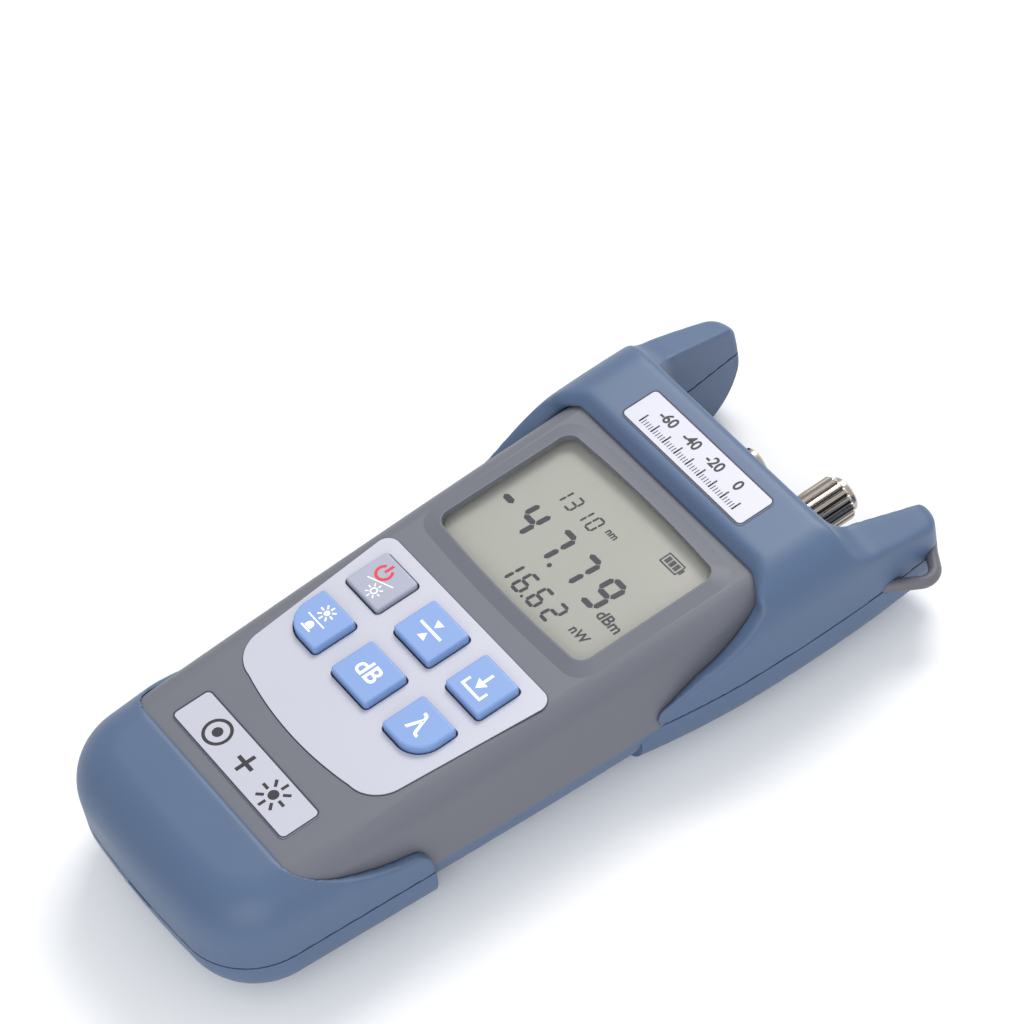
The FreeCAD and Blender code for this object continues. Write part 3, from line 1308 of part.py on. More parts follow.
# --------------------------------------------------------------------------
# Batteries, their bay and the door
# --------------------------------------------------------------------------
cell_pitch = 2 * S.cell_radius + S.cell_gap
bay_half = 1.5 * cell_pitch + S.cell_gap
spring_radius = S.cell_radius / 2
SPRING_RINGS = 3
ring_pitch = (S.spring_length - S.spring_wire) / (SPRING_RINGS - 1)
cells = []
springs = []
plates = []
for number, column in enumerate((-1, 0, 1)):
    x = column * cell_pitch
    flat_end_low = column != 0
    if flat_end_low:
        base, turn = bay_top_end - S.contact_thickness - S.cell_button - S.cell_length, "Y"
        spring_base = bay_bottom + S.contact_thickness
    else:
        base, turn = bay_bottom + S.contact_thickness + S.cell_button + S.cell_length, "-Y"
        spring_base = base
    cells.append(turned("battery_%d" % (number + 1), x, base, cell_height, turn, [
        (0, 0),
        (S.cell_radius - S.cell_bevel, 0),
        (S.cell_radius, S.cell_bevel),
        (S.cell_radius, S.cell_length - S.cell_bevel),
        (S.cell_radius - S.cell_bevel, S.cell_length),
        (S.cell_button_radius, S.cell_length),
        (S.cell_button_radius, S.cell_length + S.cell_button),
        (0, S.cell_length + S.cell_button),
    ]))
    for ring_number in range(SPRING_RINGS):
        ring = doc.addObject("Part::Torus", "spring_ring_%d_%d" % (number, ring_number))
        ring.Placement = FreeCAD.Placement(V(), FreeCAD.Rotation(V(1, 0, 0), -90))
        bind(ring, Radius1=spring_radius, Radius2=S.spring_wire / 2)
        place(ring, x, spring_base + S.spring_wire / 2 + ring_number * ring_pitch, cell_height)
        springs.append(ring)
    springs.append(rod("spring_riser_%d" % number, x + spring_radius, spring_base + S.spring_wire / 2,
                       cell_height, S.spring_riser, S.spring_length - S.spring_wire, "Y"))
    for end, start in ((0, bay_bottom), (1, bay_top_end - S.contact_thickness)):
        plates.append(box("plate_%d_%d" % (number, end), x - S.contact_size / 2, start,
                          cell_height - S.contact_size / 2,
                          S.contact_size, S.contact_thickness, S.contact_size))
battery_springs = fuse("battery_springs", *springs)
battery_contacts = fuse("battery_contacts", *plates)

bay_outer = box("bay_outer", -bay_half - S.bay_wall, bay_bottom - S.bay_wall, S.wall / 2,
                2 * (bay_half + S.bay_wall), bay_length + 2 * S.bay_wall,
                bay_ceiling + S.bay_wall - S.wall / 2)
bay_inner = box("bay_inner", -bay_half, bay_bottom, -S.wall, 2 * bay_half, bay_length, bay_ceiling + S.wall)
bay_lip = box("bay_lip", -bay_half - S.door_lap, bay_bottom - S.door_lap, -S.wall,
              2 * (bay_half + S.door_lap), bay_length + 2 * S.door_lap, S.door_lip + S.wall)
door_half = bay_half + S.door_lap - S.door_gap
door_low = bay_bottom - S.door_lap + S.door_gap
door_high = bay_top_end + S.door_lap - S.door_gap
door_lip = prism("door_lip", "YZ", -door_half, [
    (door_low, 0),
    (door_high - S.door_lip / 2, 0, S.door_lip / 2),
    (door_high, S.door_lip / 2, S.door_lip / 2),
    (door_high - S.door_lip / 2, S.door_lip),
    (door_low, S.door_lip),
], 2 * door_half)
door_plug = box("door_plug", -bay_half + S.door_gap, bay_bottom + S.door_gap, S.door_lip / 2,
                2 * (bay_half - S.door_gap), bay_length - 3 * S.door_gap, S.wall - S.door_lip / 2)
GRIPS = 4
door_grips = [box("door_grip_%d" % number, -S.grip_width / 2,
                  bay_bottom + S.grip_inset + S.grip_pitch * number,
                  -S.wall, S.grip_width, S.grip_groove, S.wall + S.grip_depth)
              for number in range(GRIPS)]
tongue_slit = box("tongue_slit", S.tongue_half, door_low - S.wall, -S.wall,
                  S.tongue_slit, S.tongue_length + S.wall, 3 * S.wall)
door_blank = common("door_blank", fuse("door_slab", door_lip, door_plug), core_form)
battery_door = cut("battery_door", door_blank,
                   fuse("door_cuts", pair("tongue_slits", tongue_slit), *door_grips))

# --------------------------------------------------------------------------
# Casing pieces
# --------------------------------------------------------------------------
outer_form = fuse("outer_form", core_form, boot_form, head_form)
rear_blank = common("rear_blank", outer_form, low_half)
rear_posts = common("rear_posts", rear_blank, at_screws("rear_post", 0, S.boss_radius, S.parting_height))
rear_hollow = cut("rear_hollow", rear_blank, fuse("rear_void", core_cavity, horn_pockets))
rear_walls = fuse("rear_walls", rear_hollow, rear_posts, bay_outer)
pry_slot = box("pry_slot", -S.pry_slot_width / 2, boot_end - S.wall, S.parting_height - S.pry_slot_height,
               S.pry_slot_width, S.pry_slot_depth + S.wall, S.pry_slot_height + S.wall)
rear_shell = cut("rear_shell", rear_walls, fuse(
    "rear_openings", bay_inner, bay_lip, wall_holes, loop_groove, pry_slot,
    at_screws("rear_counterbore", -S.wall, S.screw_head_radius + S.counterbore_air,
              S.screw_head_depth + S.wall),
    at_screws("rear_screw_hole", 0, S.screw_radius + S.screw_air, screw_end)))

front_blank = common("front_blank", core_form, high_half)
front_hollow = cut("front_hollow", front_blank, core_cavity)
front_posts = common("front_posts", front_blank, fuse(
    "front_post_rods", at_screws("front_post", S.parting_height, S.boss_radius, face_height),
    at_posts("board_post", board_top_face, S.board_boss_radius, face_height)))
front_walls = fuse("front_walls", front_hollow, front_posts, bezel)
front_panel = cut("front_panel", front_walls, fuse(
    "front_openings", window_hole, lens_seat, key_holes, wall_holes,
    at_screws("front_screw_hole", 0, S.screw_radius + S.screw_air, screw_end + S.wall / 2),
    at_posts("board_screw_hole", 0, S.board_screw_radius + S.board_thread_air,
             board_height + S.board_screw_length + S.wall / 2)))

head_blank = common("head_blank", head_form, cover_half)
head_cap = cut("head_cap", head_blank, fuse(
    "head_openings", head_window, core_clearance, horn_pockets, wall_holes, loop_groove))

boot_blank = common("boot_blank", boot_form, cover_half)
bottom_boot = cut("bottom_boot", boot_blank, fuse("boot_openings", boot_window, core_clearance))

# --------------------------------------------------------------------------
# Check every object, then write one file a node
# --------------------------------------------------------------------------
NODES = [
    rear_shell, battery_door, front_panel, head_cap, bottom_boot, window_lens, display_glass, light_guide,
    contact_strip, display_tray, keypad_overlay, key_mat, snap_domes, circuit_board, processor, buzzer,
    battery_springs, battery_contacts, optical_port, photodiode, port_adapter, finder_port, laser_module,
    torch_lamp, port_nuts, lanyard_loop, case_screws, board_screws, top_label, bottom_label,
] + key_nodes + cells

doc.recompute()
for thing in doc.Objects:
    if {"Invalid", "Error"} & set(thing.State):
        raise RuntimeError("%s failed: %s" % (thing.Name, thing.State))
for node in NODES:
    node.Label = node.Name
    shape = node.Shape
    if shape.isNull() or not shape.isValid():
        raise RuntimeError("%s has no valid shape" % node.Label)
for node in NODES:
    node.Shape.exportStep(os.path.join("parts", node.Label + ".step"))
    print("%-18s %2d solids %9.1f mm3" % (node.Label, len(node.Shape.Solids), node.Shape.Volume))
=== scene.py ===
# %% [markdown]
# # A handheld optical power meter
#
# The frame holds the meter's real parts, made in CAD and packed together with their joints. This lesson
# gives them their looks. Every part gets a material made of procedural textures. Two moulded covers get
# rounder creases than their CAD shapes have. And what is too thin or too fine for the CAD model is added
# here: the printed marks on keys and labels, the digits of the liquid crystal display, and the small lines
# that edge the film, the labels and the window.
#
# Lengths in the frame are metres. Small drawings are easier to read in millimetres, so the helpers below
# take millimetres and turn them into metres. Only the floor and the lights are given in metres.

# %% Load the frame
import json
import math

import bmesh
import bpy
from mathutils import Matrix, Vector


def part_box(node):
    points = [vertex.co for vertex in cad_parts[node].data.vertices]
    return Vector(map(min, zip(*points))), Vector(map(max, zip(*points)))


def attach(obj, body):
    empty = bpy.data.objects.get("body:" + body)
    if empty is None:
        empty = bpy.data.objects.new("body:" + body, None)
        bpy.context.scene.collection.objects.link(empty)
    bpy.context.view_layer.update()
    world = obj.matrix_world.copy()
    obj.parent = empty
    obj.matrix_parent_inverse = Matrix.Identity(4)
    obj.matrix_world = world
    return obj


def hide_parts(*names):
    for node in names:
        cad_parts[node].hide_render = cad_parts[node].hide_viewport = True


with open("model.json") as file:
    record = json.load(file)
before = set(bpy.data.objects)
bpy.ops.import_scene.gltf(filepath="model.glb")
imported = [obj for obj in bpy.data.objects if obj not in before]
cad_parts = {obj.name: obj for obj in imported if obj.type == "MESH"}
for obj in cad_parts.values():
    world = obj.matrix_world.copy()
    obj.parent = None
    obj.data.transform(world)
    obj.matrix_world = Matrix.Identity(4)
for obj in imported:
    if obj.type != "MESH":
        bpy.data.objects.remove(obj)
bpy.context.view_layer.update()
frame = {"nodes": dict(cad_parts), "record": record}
NODES = frame["nodes"]
MM = 0.001
print("nodes:", len(NODES))


# %% [markdown]
# ## Places
#
# A drawing sits on a part. Its place could be typed in, but then it would stay behind when the part
# changes, so it is read from that part's box. `middle` gives the centre of the box and `top` its highest
# level, both in millimetres.

# %% Read places from the parts
def low_corner(node):
    return Vector(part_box(node)[0]) / MM


def high_corner(node):
    return Vector(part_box(node)[1]) / MM


def middle(node):
    return (low_corner(node) + high_corner(node)) / 2


def top(node):
    return high_corner(node).z


for node in ("window_lens", "top_label", "bottom_label", "power_key"):
    print(node, "centre", [round(value, 2) for value in middle(node)], "top", round(top(node), 2))


# %% [markdown]
# ## Shader nodes in a few words
#
# A material is a tree of shader nodes. Building one by hand takes many lines, so the steps that return in
# every material get a helper each. The first two make an empty tree with its shader and a noise texture.
# All textures read object coordinates in metres, so the grain keeps its real size and stays on its part
# when the part moves.

# %% Start a material and read noise
def new_material(name):
    """An empty tree with a principled shader; also returns where a texture reads its place."""
    material = bpy.data.materials.new(name)
    material.use_nodes = True
    tree = material.node_tree
    tree.nodes.clear()
    output = tree.nodes.new("ShaderNodeOutputMaterial")
    shader = tree.nodes.new("ShaderNodeBsdfPrincipled")
    tree.links.new(shader.outputs["BSDF"], output.inputs["Surface"])
    coordinates = tree.nodes.new("ShaderNodeTexCoord")
    return material, tree, shader, coordinates.outputs["Object"], output


def noise(tree, where, scale, detail=3.0, stretch=(1, 1, 1)):
    """Noise between 0 and 1, finer along an axis that is stretched by more than 1."""
    mapping = tree.nodes.new("ShaderNodeMapping")
    mapping.inputs["Scale"].default_value = stretch
    tree.links.new(where, mapping.inputs["Vector"])
    texture = tree.nodes.new("ShaderNodeTexNoise")
    texture.inputs["Scale"].default_value = scale
    texture.inputs["Detail"].default_value = detail
    tree.links.new(mapping.outputs["Vector"], texture.inputs["Vector"])
    return texture.outputs["Fac"]


sample, sample_tree, *_ = new_material("sample")
print("a new tree holds:", [node.name for node in sample_tree.nodes])
bpy.data.materials.remove(sample)


# %% [markdown]
# The noise only becomes a look when it drives something. Its range is fitted to a roughness, it chooses
# between two colours, or it tilts the light on the surface. Node groups could hold these steps too, but
# plain functions are easier to read and to change.

# %% Fit, mix and bump
def ramp(tree, value, low, high, start=0.0, end=1.0):
    """Map the range from start to end onto the one from low to high, and hold it at both ends."""
    node = tree.nodes.new("ShaderNodeMapRange")
    for socket, number in (("From Min", start), ("From Max", end), ("To Min", low), ("To Max", high)):
        node.inputs[socket].default_value = number
    tree.links.new(value, node.inputs["Value"])
    return node.outputs["Result"]


def maths(tree, operation, first, second):
    """One math node on two inputs, each a socket or a number."""
    node = tree.nodes.new("ShaderNodeMath")
    node.operation = operation
    for socket, value in zip(node.inputs, (first, second)):
        if isinstance(value, (int, float)):
            socket.default_value = value
        else:
            tree.links.new(value, socket)
    return node.outputs["Value"]


def mix_colour(tree, share, first, second):
    """A blend of two colours, which turns from the first to the second as the share grows."""
    node = tree.nodes.new("ShaderNodeMix")
    node.data_type = "RGBA"
    node.inputs["A"].default_value = (*first, 1)
    node.inputs["B"].default_value = (*second, 1)
    tree.links.new(share, node.inputs["Factor"])
    return node.outputs["Result"]


def bump(tree, shader, height, strength, depth):
    """Tilt the shader's normal with the slope of a height."""
    node = tree.nodes.new("ShaderNodeBump")
    node.inputs["Strength"].default_value = strength
    node.inputs["Distance"].default_value = depth
    tree.links.new(height, node.inputs["Height"])
    tree.links.new(node.outputs["Normal"], shader.inputs["Normal"])


print("helpers:", [helper.__name__ for helper in (ramp, maths, mix_colour, bump)])


# %% [markdown]
# ## One builder for every solid finish
#
# Moulded plastic, rubber and plated metal differ in their numbers, but not in how they look close up: the
# colour wanders a little over a centimetre, and a fine grain breaks the shine. An image texture could show
# that too, but it needs unwrapped surfaces and blurs close up, and noise does neither. One builder lays a
# broad noise over the colour and lets a fine noise drive the roughness and, where there is a relief, a
# bump of a few hundredths of a millimetre.

# %% Define the finish
BROAD_NOISE = 60.0


def srgb(red, green, blue):
    """Linear colour from the usual 0..255 numbers."""
    return tuple((value / 255 / 12.92) if value <= 10 else ((value / 255 + 0.055) / 1.055) ** 2.4
                 for value in (red, green, blue))


def shade(colour, factor):
    """A colour made darker or lighter by a factor."""
    return tuple(channel * factor for channel in colour)


def finish(name, colour, roughness=0.5, spread=0.05, vary=0.06, grain=1500.0, relief=0.0, depth=0.02 * MM,
           metal=0.0, coat=0.0, sheen=0.0, specular=0.5, stretch=(1, 1, 1)):
    """A plastic, rubber, ink or metal with grain in its colour, roughness and surface."""
    material, tree, shader, where, _ = new_material(name)
    broad = noise(tree, where, BROAD_NOISE, detail=2.0)
    fine = noise(tree, where, grain, detail=4.0, stretch=stretch)
    colours = mix_colour(tree, broad, shade(colour, 1 - vary), shade(colour, 1 + vary))
    tree.links.new(colours, shader.inputs["Base Color"])
    tree.links.new(ramp(tree, fine, roughness - spread, roughness + spread), shader.inputs["Roughness"])
    shader.inputs["Metallic"].default_value = metal
    shader.inputs["Coat Weight"].default_value = coat
    shader.inputs["Sheen Weight"].default_value = sheen
    shader.inputs["Specular IOR Level"].default_value = specular
    if relief:
        bump(tree, shader, fine, relief, depth)
    return material


print("mid grey in linear light:", [round(channel, 3) for channel in srgb(128, 128, 128)])

# %% [markdown]
# ### What the hand touches
#
# The covers and the rear shell are a satin blue plastic, and the front panel is a grey one with a deeper
# grain. The film and the labels are printed with a silver ink, which needs only a trace of metal. The key
# tops are a smoother plastic under a thin clear coat, and the mat in the gaps round them is a dark rubber.
# Each could have a tree of its own, but the one builder tells them apart by their numbers alone.

# %% Mix the outer finishes
KEY_TOP = dict(roughness=0.42, spread=0.06, vary=0.02, grain=2400, relief=0.10, coat=0.1)

BLUE = finish("blue_plastic", srgb(76, 97, 127), roughness=0.46, spread=0.07, vary=0.04, grain=2600,
              relief=0.25)
GREY = finish("grey_plastic", srgb(101, 103, 112), roughness=0.50, spread=0.08, vary=0.03, grain=3400,
              relief=0.45, depth=0.03 * MM)
SILVER = finish("silver_film", srgb(186, 186, 197), roughness=0.42, spread=0.08, vary=0.02, grain=5200,
                relief=0.15, metal=0.15)
KEY = finish("key_plastic", srgb(125, 155, 206), **KEY_TOP)
POWER = finish("power_key_plastic", srgb(159, 164, 180), **KEY_TOP)
RUBBER = finish("mat_rubber", srgb(46, 50, 62), roughness=0.75, sheen=0.2)
LOOP = finish("loop_plastic", srgb(98, 98, 104), roughness=0.5, spread=0.06, grain=1800, relief=0.3)
print("outer finishes:", [item.name for item in (BLUE, GREY, SILVER, KEY, POWER, RUBBER, LOOP)])

# %% [markdown]
# ### Metals
#
# The ports and the fluted cap are plated with nickel, which is warmer than steel. Turned parts show fine
# rings round their axis. An anisotropic gloss could show them, but it needs a direction on every face. So
# the grain on the ports is stretched instead: it is twelve times finer along the axis than across it.

# %% Mix the metals
PLATED = dict(roughness=0.22, spread=0.08, vary=0.05, grain=900, relief=0.1, metal=1.0)
TURNED = (1, 12, 1)

NICKEL = finish("nickel", srgb(188, 178, 168), stretch=TURNED, **PLATED)
FLUTED = finish("fluted_nickel", srgb(188, 178, 168), **PLATED)
BRASS = finish("brass", srgb(200, 160, 90), roughness=0.3, spread=0.08, grain=900, relief=0.1, metal=1.0)
STEEL = finish("spring_steel", srgb(190, 190, 186), roughness=0.3, spread=0.1, vary=0.05, grain=1200,
               relief=0.1, metal=1.0)
SCREW = finish("screw_steel", srgb(150, 150, 150), roughness=0.35, spread=0.1, vary=0.1, grain=1400,
               relief=0.15, metal=1.0)
print("metals:", [item.name for item in (NICKEL, FLUTED, BRASS, STEEL, SCREW)])

# %% [markdown]
# ### What the casing hides
#
# The parts inside show only when the battery door is open or the meter is taken apart. One grey would do
# for them all, but someone who opens the meter in a model should know them apart. So board laminate, the
# jackets of the cells, the light guide and the small black parts get a finish of their own.

# %% Mix the inner finishes
MILKY = finish("milky_plastic", srgb(225, 228, 225), roughness=0.4)
WHITE = finish("white_plastic", srgb(220, 220, 216))
STRIP = finish("strip_rubber", srgb(150, 140, 150), roughness=0.7)
BOARD = finish("board_laminate", srgb(30, 96, 52), roughness=0.35, grain=900, relief=0.2)
# black plastic; this finish also draws the painted shade along the window's lens edge
BLACK = finish("black_plastic", srgb(34, 34, 36), relief=0.2)
CELL = finish("cell_jacket", srgb(70, 86, 110), roughness=0.3, coat=0.4)
print("inner finishes:", [item.name for item in (MILKY, WHITE, STRIP, BOARD, BLACK, CELL)])

# %% [markdown]
# ### Inks
#
# Printing lies on top of its part as a plate a few hundredths of a millimetre thick, and its ink is a
# finish like the others. The dark segments of the display are no ink, but liquid crystal that stops the
# light, so they shine less than a print would.

# %% Mix the inks
WHITE_INK = finish("white_ink", srgb(250, 250, 252))
RED_INK = finish("red_ink", srgb(214, 44, 62))
DARK_INK = finish("dark_ink", srgb(36, 36, 42))
# edge ink prints the label frames, and also draws the painted shadow lines along the film and its key holes
EDGE_INK_AND_SHADOW = finish("edge_ink_and_shadow", srgb(36, 42, 64))
CRYSTAL = finish("crystal_ink", srgb(72, 70, 78), specular=0.2)
print("inks:", [item.name for item in (WHITE_INK, RED_INK, DARK_INK, EDGE_INK_AND_SHADOW, CRYSTAL)])


# %% [markdown]
# ### Materials that pass light
#
# The window and the torch lamp are clear. A full glass shader would block the lights, because Cycles finds
# few paths through it, so a thin pane is a mix of plain transparency and a mirror. The mirror's share
# grows with the fifth power toward grazing angles, alike on both faces, so the pane never traps the light
# that goes straight through it. A blend of one half leaves the facing value unbent, so that it measures
# the angle alone. The display glass under the window is a polariser: greenish grey, with a faint fibre
# grain.

# %% Mix the clear materials
PANE_NOISE = 700.0
PANE_FLECK = 0.985
GLOSS_SPREAD = 0.3
GRAZING_POWER = 5.0
UNBENT = 0.5


def clear_pane(name, tint, gloss_roughness, index):
    """A pane of the given refractive index that lets light straight through and mirrors the rest."""
    material, tree, shader, where, output = new_material(name)
    tree.nodes.remove(shader)
    through = tree.nodes.new("ShaderNodeBsdfTransparent")
    fine = noise(tree, where, PANE_NOISE)
    tree.links.new(mix_colour(tree, fine, shade(tint, PANE_FLECK), tint), through.inputs["Color"])
    mirror = tree.nodes.new("ShaderNodeBsdfGlossy")
    low, high = gloss_roughness * (1 - GLOSS_SPREAD), gloss_roughness * (1 + GLOSS_SPREAD)
    tree.links.new(ramp(tree, fine, low, high), mirror.inputs["Roughness"])
    facing = tree.nodes.new("ShaderNodeLayerWeight")
    facing.inputs["Blend"].default_value = UNBENT
    grazing = maths(tree, "POWER", facing.outputs["Facing"], GRAZING_POWER)
    head_on = ((index - 1) / (index + 1)) ** 2
    blend = tree.nodes.new("ShaderNodeMixShader")
    tree.links.new(ramp(tree, grazing, head_on, 1.0), blend.inputs["Fac"])
    tree.links.new(through.outputs["BSDF"], blend.inputs[1])
    tree.links.new(mirror.outputs["BSDF"], blend.inputs[2])
    tree.links.new(blend.outputs["Shader"], output.inputs["Surface"])
    return material


CLEAR = clear_pane("clear_lens", (0.99, 0.99, 0.98), gloss_roughness=0.12, index=1.16)
LAMP = clear_pane("lamp_lens", (0.9, 0.92, 0.94), gloss_roughness=0.1, index=1.5)
DISPLAY = finish("display", srgb(168, 168, 163), roughness=0.6, vary=0.02, grain=2600, relief=0.05,
                 stretch=(1, 6, 1), specular=0.2)
print("clear materials:", CLEAR.name, LAMP.name, "behind them:", DISPLAY.name)


# %% [markdown]
# ## Dressing the parts
#
# The record names a slot for every part, and each slot has one finish. A material could also be set face by
# face, but each real part is made of a single material, so it gets a single one here too. The fluted cap
# shares the slot of the plated parts and has a finish of its own.

# %% Give every part its material
def dress(name, material):
    """Put one material on a part."""
    mesh = NODES[name].data
    mesh.materials.clear()
    mesh.materials.append(material)


slots = {part["node"]: part["material_slot"] for part in frame["record"]["subparts"]}
BY_SLOT = {
    "blue_plastic": BLUE, "grey_plastic": GREY, "clear_lens": CLEAR, "display": DISPLAY,
    "milky_plastic": MILKY, "white_plastic": WHITE, "strip_rubber": STRIP, "silver_film": SILVER,
    "mat_rubber": RUBBER, "spring_steel": STEEL, "board_laminate": BOARD, "black_plastic": BLACK,
    "cell_jacket": CELL, "nickel": NICKEL, "brass": BRASS, "lamp_lens": LAMP, "loop_plastic": LOOP,
    "screw_steel": SCREW, "power_key_plastic": POWER, "key_plastic": KEY,
}
for name, slot_name in slots.items():
    dress(name, BY_SLOT[slot_name])
dress("port_adapter", FLUTED)
print("dressed:", len(slots))


# %% [markdown]
# ### Painted shade in the flutes
#
# The cap on the optical port is fluted for the fingers. Little light reaches the bottom of each flute, so
# shade is painted there. A second material on the flutes' faces would need them picked out one by one, and
# would have a hard edge. So the colour is multiplied by a grey, a painted shade that falls from the crest
# of the flutes to their bottom. The distance from the cap's axis gives the depth, and in front of the
# flutes the plain ring gets no painted shade.

# %% Darken the flutes
FLUTE_DEPTH, CREST_DEPTH = 0.5, 0.12
NOSE_AND_BEVEL = 2.1
FLUTE_SHADE = 0.03


def darken_flutes(material, axis, bottom, crest, front, darkness):
    """Paint shade into a finish between two radii round an axis along Y, behind the level where the flutes
    end.
    """
    tree = material.node_tree
    shader = next(node for node in tree.nodes if node.type == "BSDF_PRINCIPLED")
    where = next(node for node in tree.nodes if node.type == "TEX_COORD").outputs["Object"]
    parts = tree.nodes.new("ShaderNodeSeparateXYZ")
    tree.links.new(where, parts.inputs["Vector"])
    across = maths(tree, "SUBTRACT", parts.outputs["X"], axis.x * MM)
    up = maths(tree, "SUBTRACT", parts.outputs["Z"], axis.z * MM)
    squares = maths(tree, "ADD", maths(tree, "MULTIPLY", across, across), maths(tree, "MULTIPLY", up, up))
    radius = maths(tree, "SQRT", squares, 0.0)
    past_front = maths(tree, "GREATER_THAN", parts.outputs["Y"], front * MM)
    unshaded = maths(tree, "MAXIMUM", ramp(tree, radius, 0.0, 1.0, bottom * MM, crest * MM), past_front)
    blend = mix_colour(tree, unshaded, (darkness, darkness, darkness), (1, 1, 1))
    tree.links.new(shader.inputs["Base Color"].links[0].from_socket, blend.node.inputs["B"])
    tree.links.new(blend, shader.inputs["Base Color"])


adapter = middle("port_adapter")
adapter_radius = top("port_adapter") - adapter.z
# painted shade: the flute bottoms are darkened to a near black grey, the crests and the front ring are not
darken_flutes(FLUTED, adapter, adapter_radius - FLUTE_DEPTH, adapter_radius - CREST_DEPTH,
              high_corner("port_adapter").y - NOSE_AND_BEVEL, FLUTE_SHADE)
print("adapter radius:", round(adapter_radius, 2))


# %% [markdown]
# ## From outlines to thin plates
#
# Marks on the keys, labels and display are closed outlines in millimetres. Blender fills them when they
# are splines of one 2D curve, and an outline inside another one becomes a hole, which spares all the work
# of cutting. An image texture could show the marks too, but it would be soft close up and lie inside the
# surface, while real ink lies on top of it. The first helpers evaluate an object once, clean its mesh, and
# add it to the meter as a piece, with the body that it rides on.

# %% Make and collect pieces
PIECES = []
MERGE_WITHIN = 1e-7


def finish_mesh(mesh):
    """Merge doubles and turn all normals outward."""
    shape = bmesh.new()
    shape.from_mesh(mesh)
    bmesh.ops.remove_doubles(shape, verts=shape.verts, dist=MERGE_WITHIN)
    bmesh.ops.recalc_face_normals(shape, faces=shape.faces)
    shape.to_mesh(mesh)
    shape.free()


def held(data):
    """An object in the scene that holds a mesh, a curve or a text for a moment."""
    holder = bpy.data.objects.new("holder", data)
    bpy.context.scene.collection.objects.link(holder)
    return holder


def evaluated(holder):
    """The mesh that an object shows, as a plain one; the object itself goes."""
    bpy.context.view_layer.update()
    graph = bpy.context.evaluated_depsgraph_get()
    mesh = bpy.data.meshes.new_from_object(holder.evaluated_get(graph))
    bpy.data.objects.remove(holder)
    return mesh


def add_piece(name, mesh, material, body, slot_name):
    """Add a mesh to the scene as a piece that rides on a body."""
    mesh.name = name
    mesh.materials.clear()
    mesh.materials.append(material)
    piece = bpy.data.objects.new(name, mesh)
    bpy.context.scene.collection.objects.link(piece)
    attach(piece, body)
    PIECES.append(piece)
    return piece


print("pieces so far:", len(PIECES))


# %% [markdown]
# A plate is as thick as a layer of ink or film, a few hundredths of a millimetre. The fill and the sides
# come from the curve's own extrusion, which leaves clean, closed edges. Letters go the same way, from a
# text object with the built-in font, whose strokes can be made a little bolder or leaned.

# %% Turn outlines and words into plates
def add_flat(name, curve, x, y, level, material, body, slot_name):
    """Turn a flat curve or text into a piece whose middle lies at a place and a level."""
    mesh = evaluated(held(curve))
    bpy.data.curves.remove(curve)
    mesh.transform(Matrix.Translation(Vector((x, y, level)) * MM))
    finish_mesh(mesh)
    return add_piece(name, mesh, material, body, slot_name)


def plate(name, outlines, level, height, material, body="meter", slot_name="silver_film"):
    """Closed outlines in millimetres, pulled up from a level."""
    curve = bpy.data.curves.new(name, "CURVE")
    curve.dimensions = "2D"
    curve.fill_mode = "BOTH"
    curve.extrude = height * MM / 2
    for outline in outlines:
        spline = curve.splines.new("POLY")
        spline.points.add(len(outline) - 1)
        for point, (x, y) in zip(spline.points, outline):
            point.co = (x * MM, y * MM, 0, 1)
        spline.use_cyclic_u = True
    return add_flat(name, curve, 0, 0, level + height / 2, material, body, slot_name)


def lettering(name, text, x, y, size, level, height, material, body="meter", slot_name="silver_film",
              bold=0.0, lean=0.0):
    """Text as a thin plate, with its middle at a place."""
    words = bpy.data.curves.new(name, "FONT")
    words.body = text
    words.size = size * MM
    words.align_x = "CENTER"
    words.align_y = "CENTER"
    words.extrude = height * MM / 2
    words.offset = bold * MM
    words.shear = lean
    return add_flat(name, words, x, y, level + height / 2, material, body, slot_name)


print("ways to make a plate:", plate.__name__, "and", lettering.__name__)


# %% [markdown]
# ### Shapes to draw with
#
# Every symbol on the meter is made of a few simple shapes, each a function that returns a list of points.
# They could be traced by hand, but a function keeps every circle round and every stroke equally wide.
# Round shapes come from a single arc, so their smoothness is set in one place.

# %% Define the round shapes
def arc(x, y, radius, start, end, steps=24):
    """Points on an arc, angles in degrees."""
    return [(x + radius * math.cos(math.radians(start + (end - start) * step / steps)),
             y + radius * math.sin(math.radians(start + (end - start) * step / steps)))
            for step in range(steps + 1)]


def disc(x, y, radius, steps=32):
    """A full circle without its last point, which would double the first."""
    return arc(x, y, radius, 0, 360 - 360 / steps, steps - 1)


def ring_band(x, y, radius, width, start, end, steps=28):
    """Part of a ring, as one outline."""
    outer = arc(x, y, radius + width / 2, start, end, steps)
    inner = arc(x, y, radius - width / 2, end, start, steps)
    return outer + inner


def round_box(x, y, width, height, radius, steps=8):
    """A rectangle with round corners."""
    left, right = x - width / 2 + radius, x + width / 2 - radius
    low, high = y - height / 2 + radius, y + height / 2 - radius
    return (arc(right, low, radius, -90, 0, steps) + arc(right, high, radius, 0, 90, steps)
            + arc(left, high, radius, 90, 180, steps) + arc(left, low, radius, 180, 270, steps))


print("a disc has", len(disc(0, 0, 1)), "points, a round box", len(round_box(0, 0, 4, 2, 0.5)))


# %% [markdown]
# Strokes are straight bars, and an outline can be turned and scaled as a whole. The rays of the sun and of
# the light source are one stroke turned evenly round a centre.

# %% Define the strokes
def bar(start, end, width):
    """A straight stroke with square ends, from one point to the other."""
    along = (Vector(end) - Vector(start)).normalized() * (width / 2)
    side = Vector((-along.y, along.x))
    corners = (Vector(start) + side, Vector(start) - side, Vector(end) - side, Vector(end) + side)
    return [(corner.x, corner.y) for corner in corners]


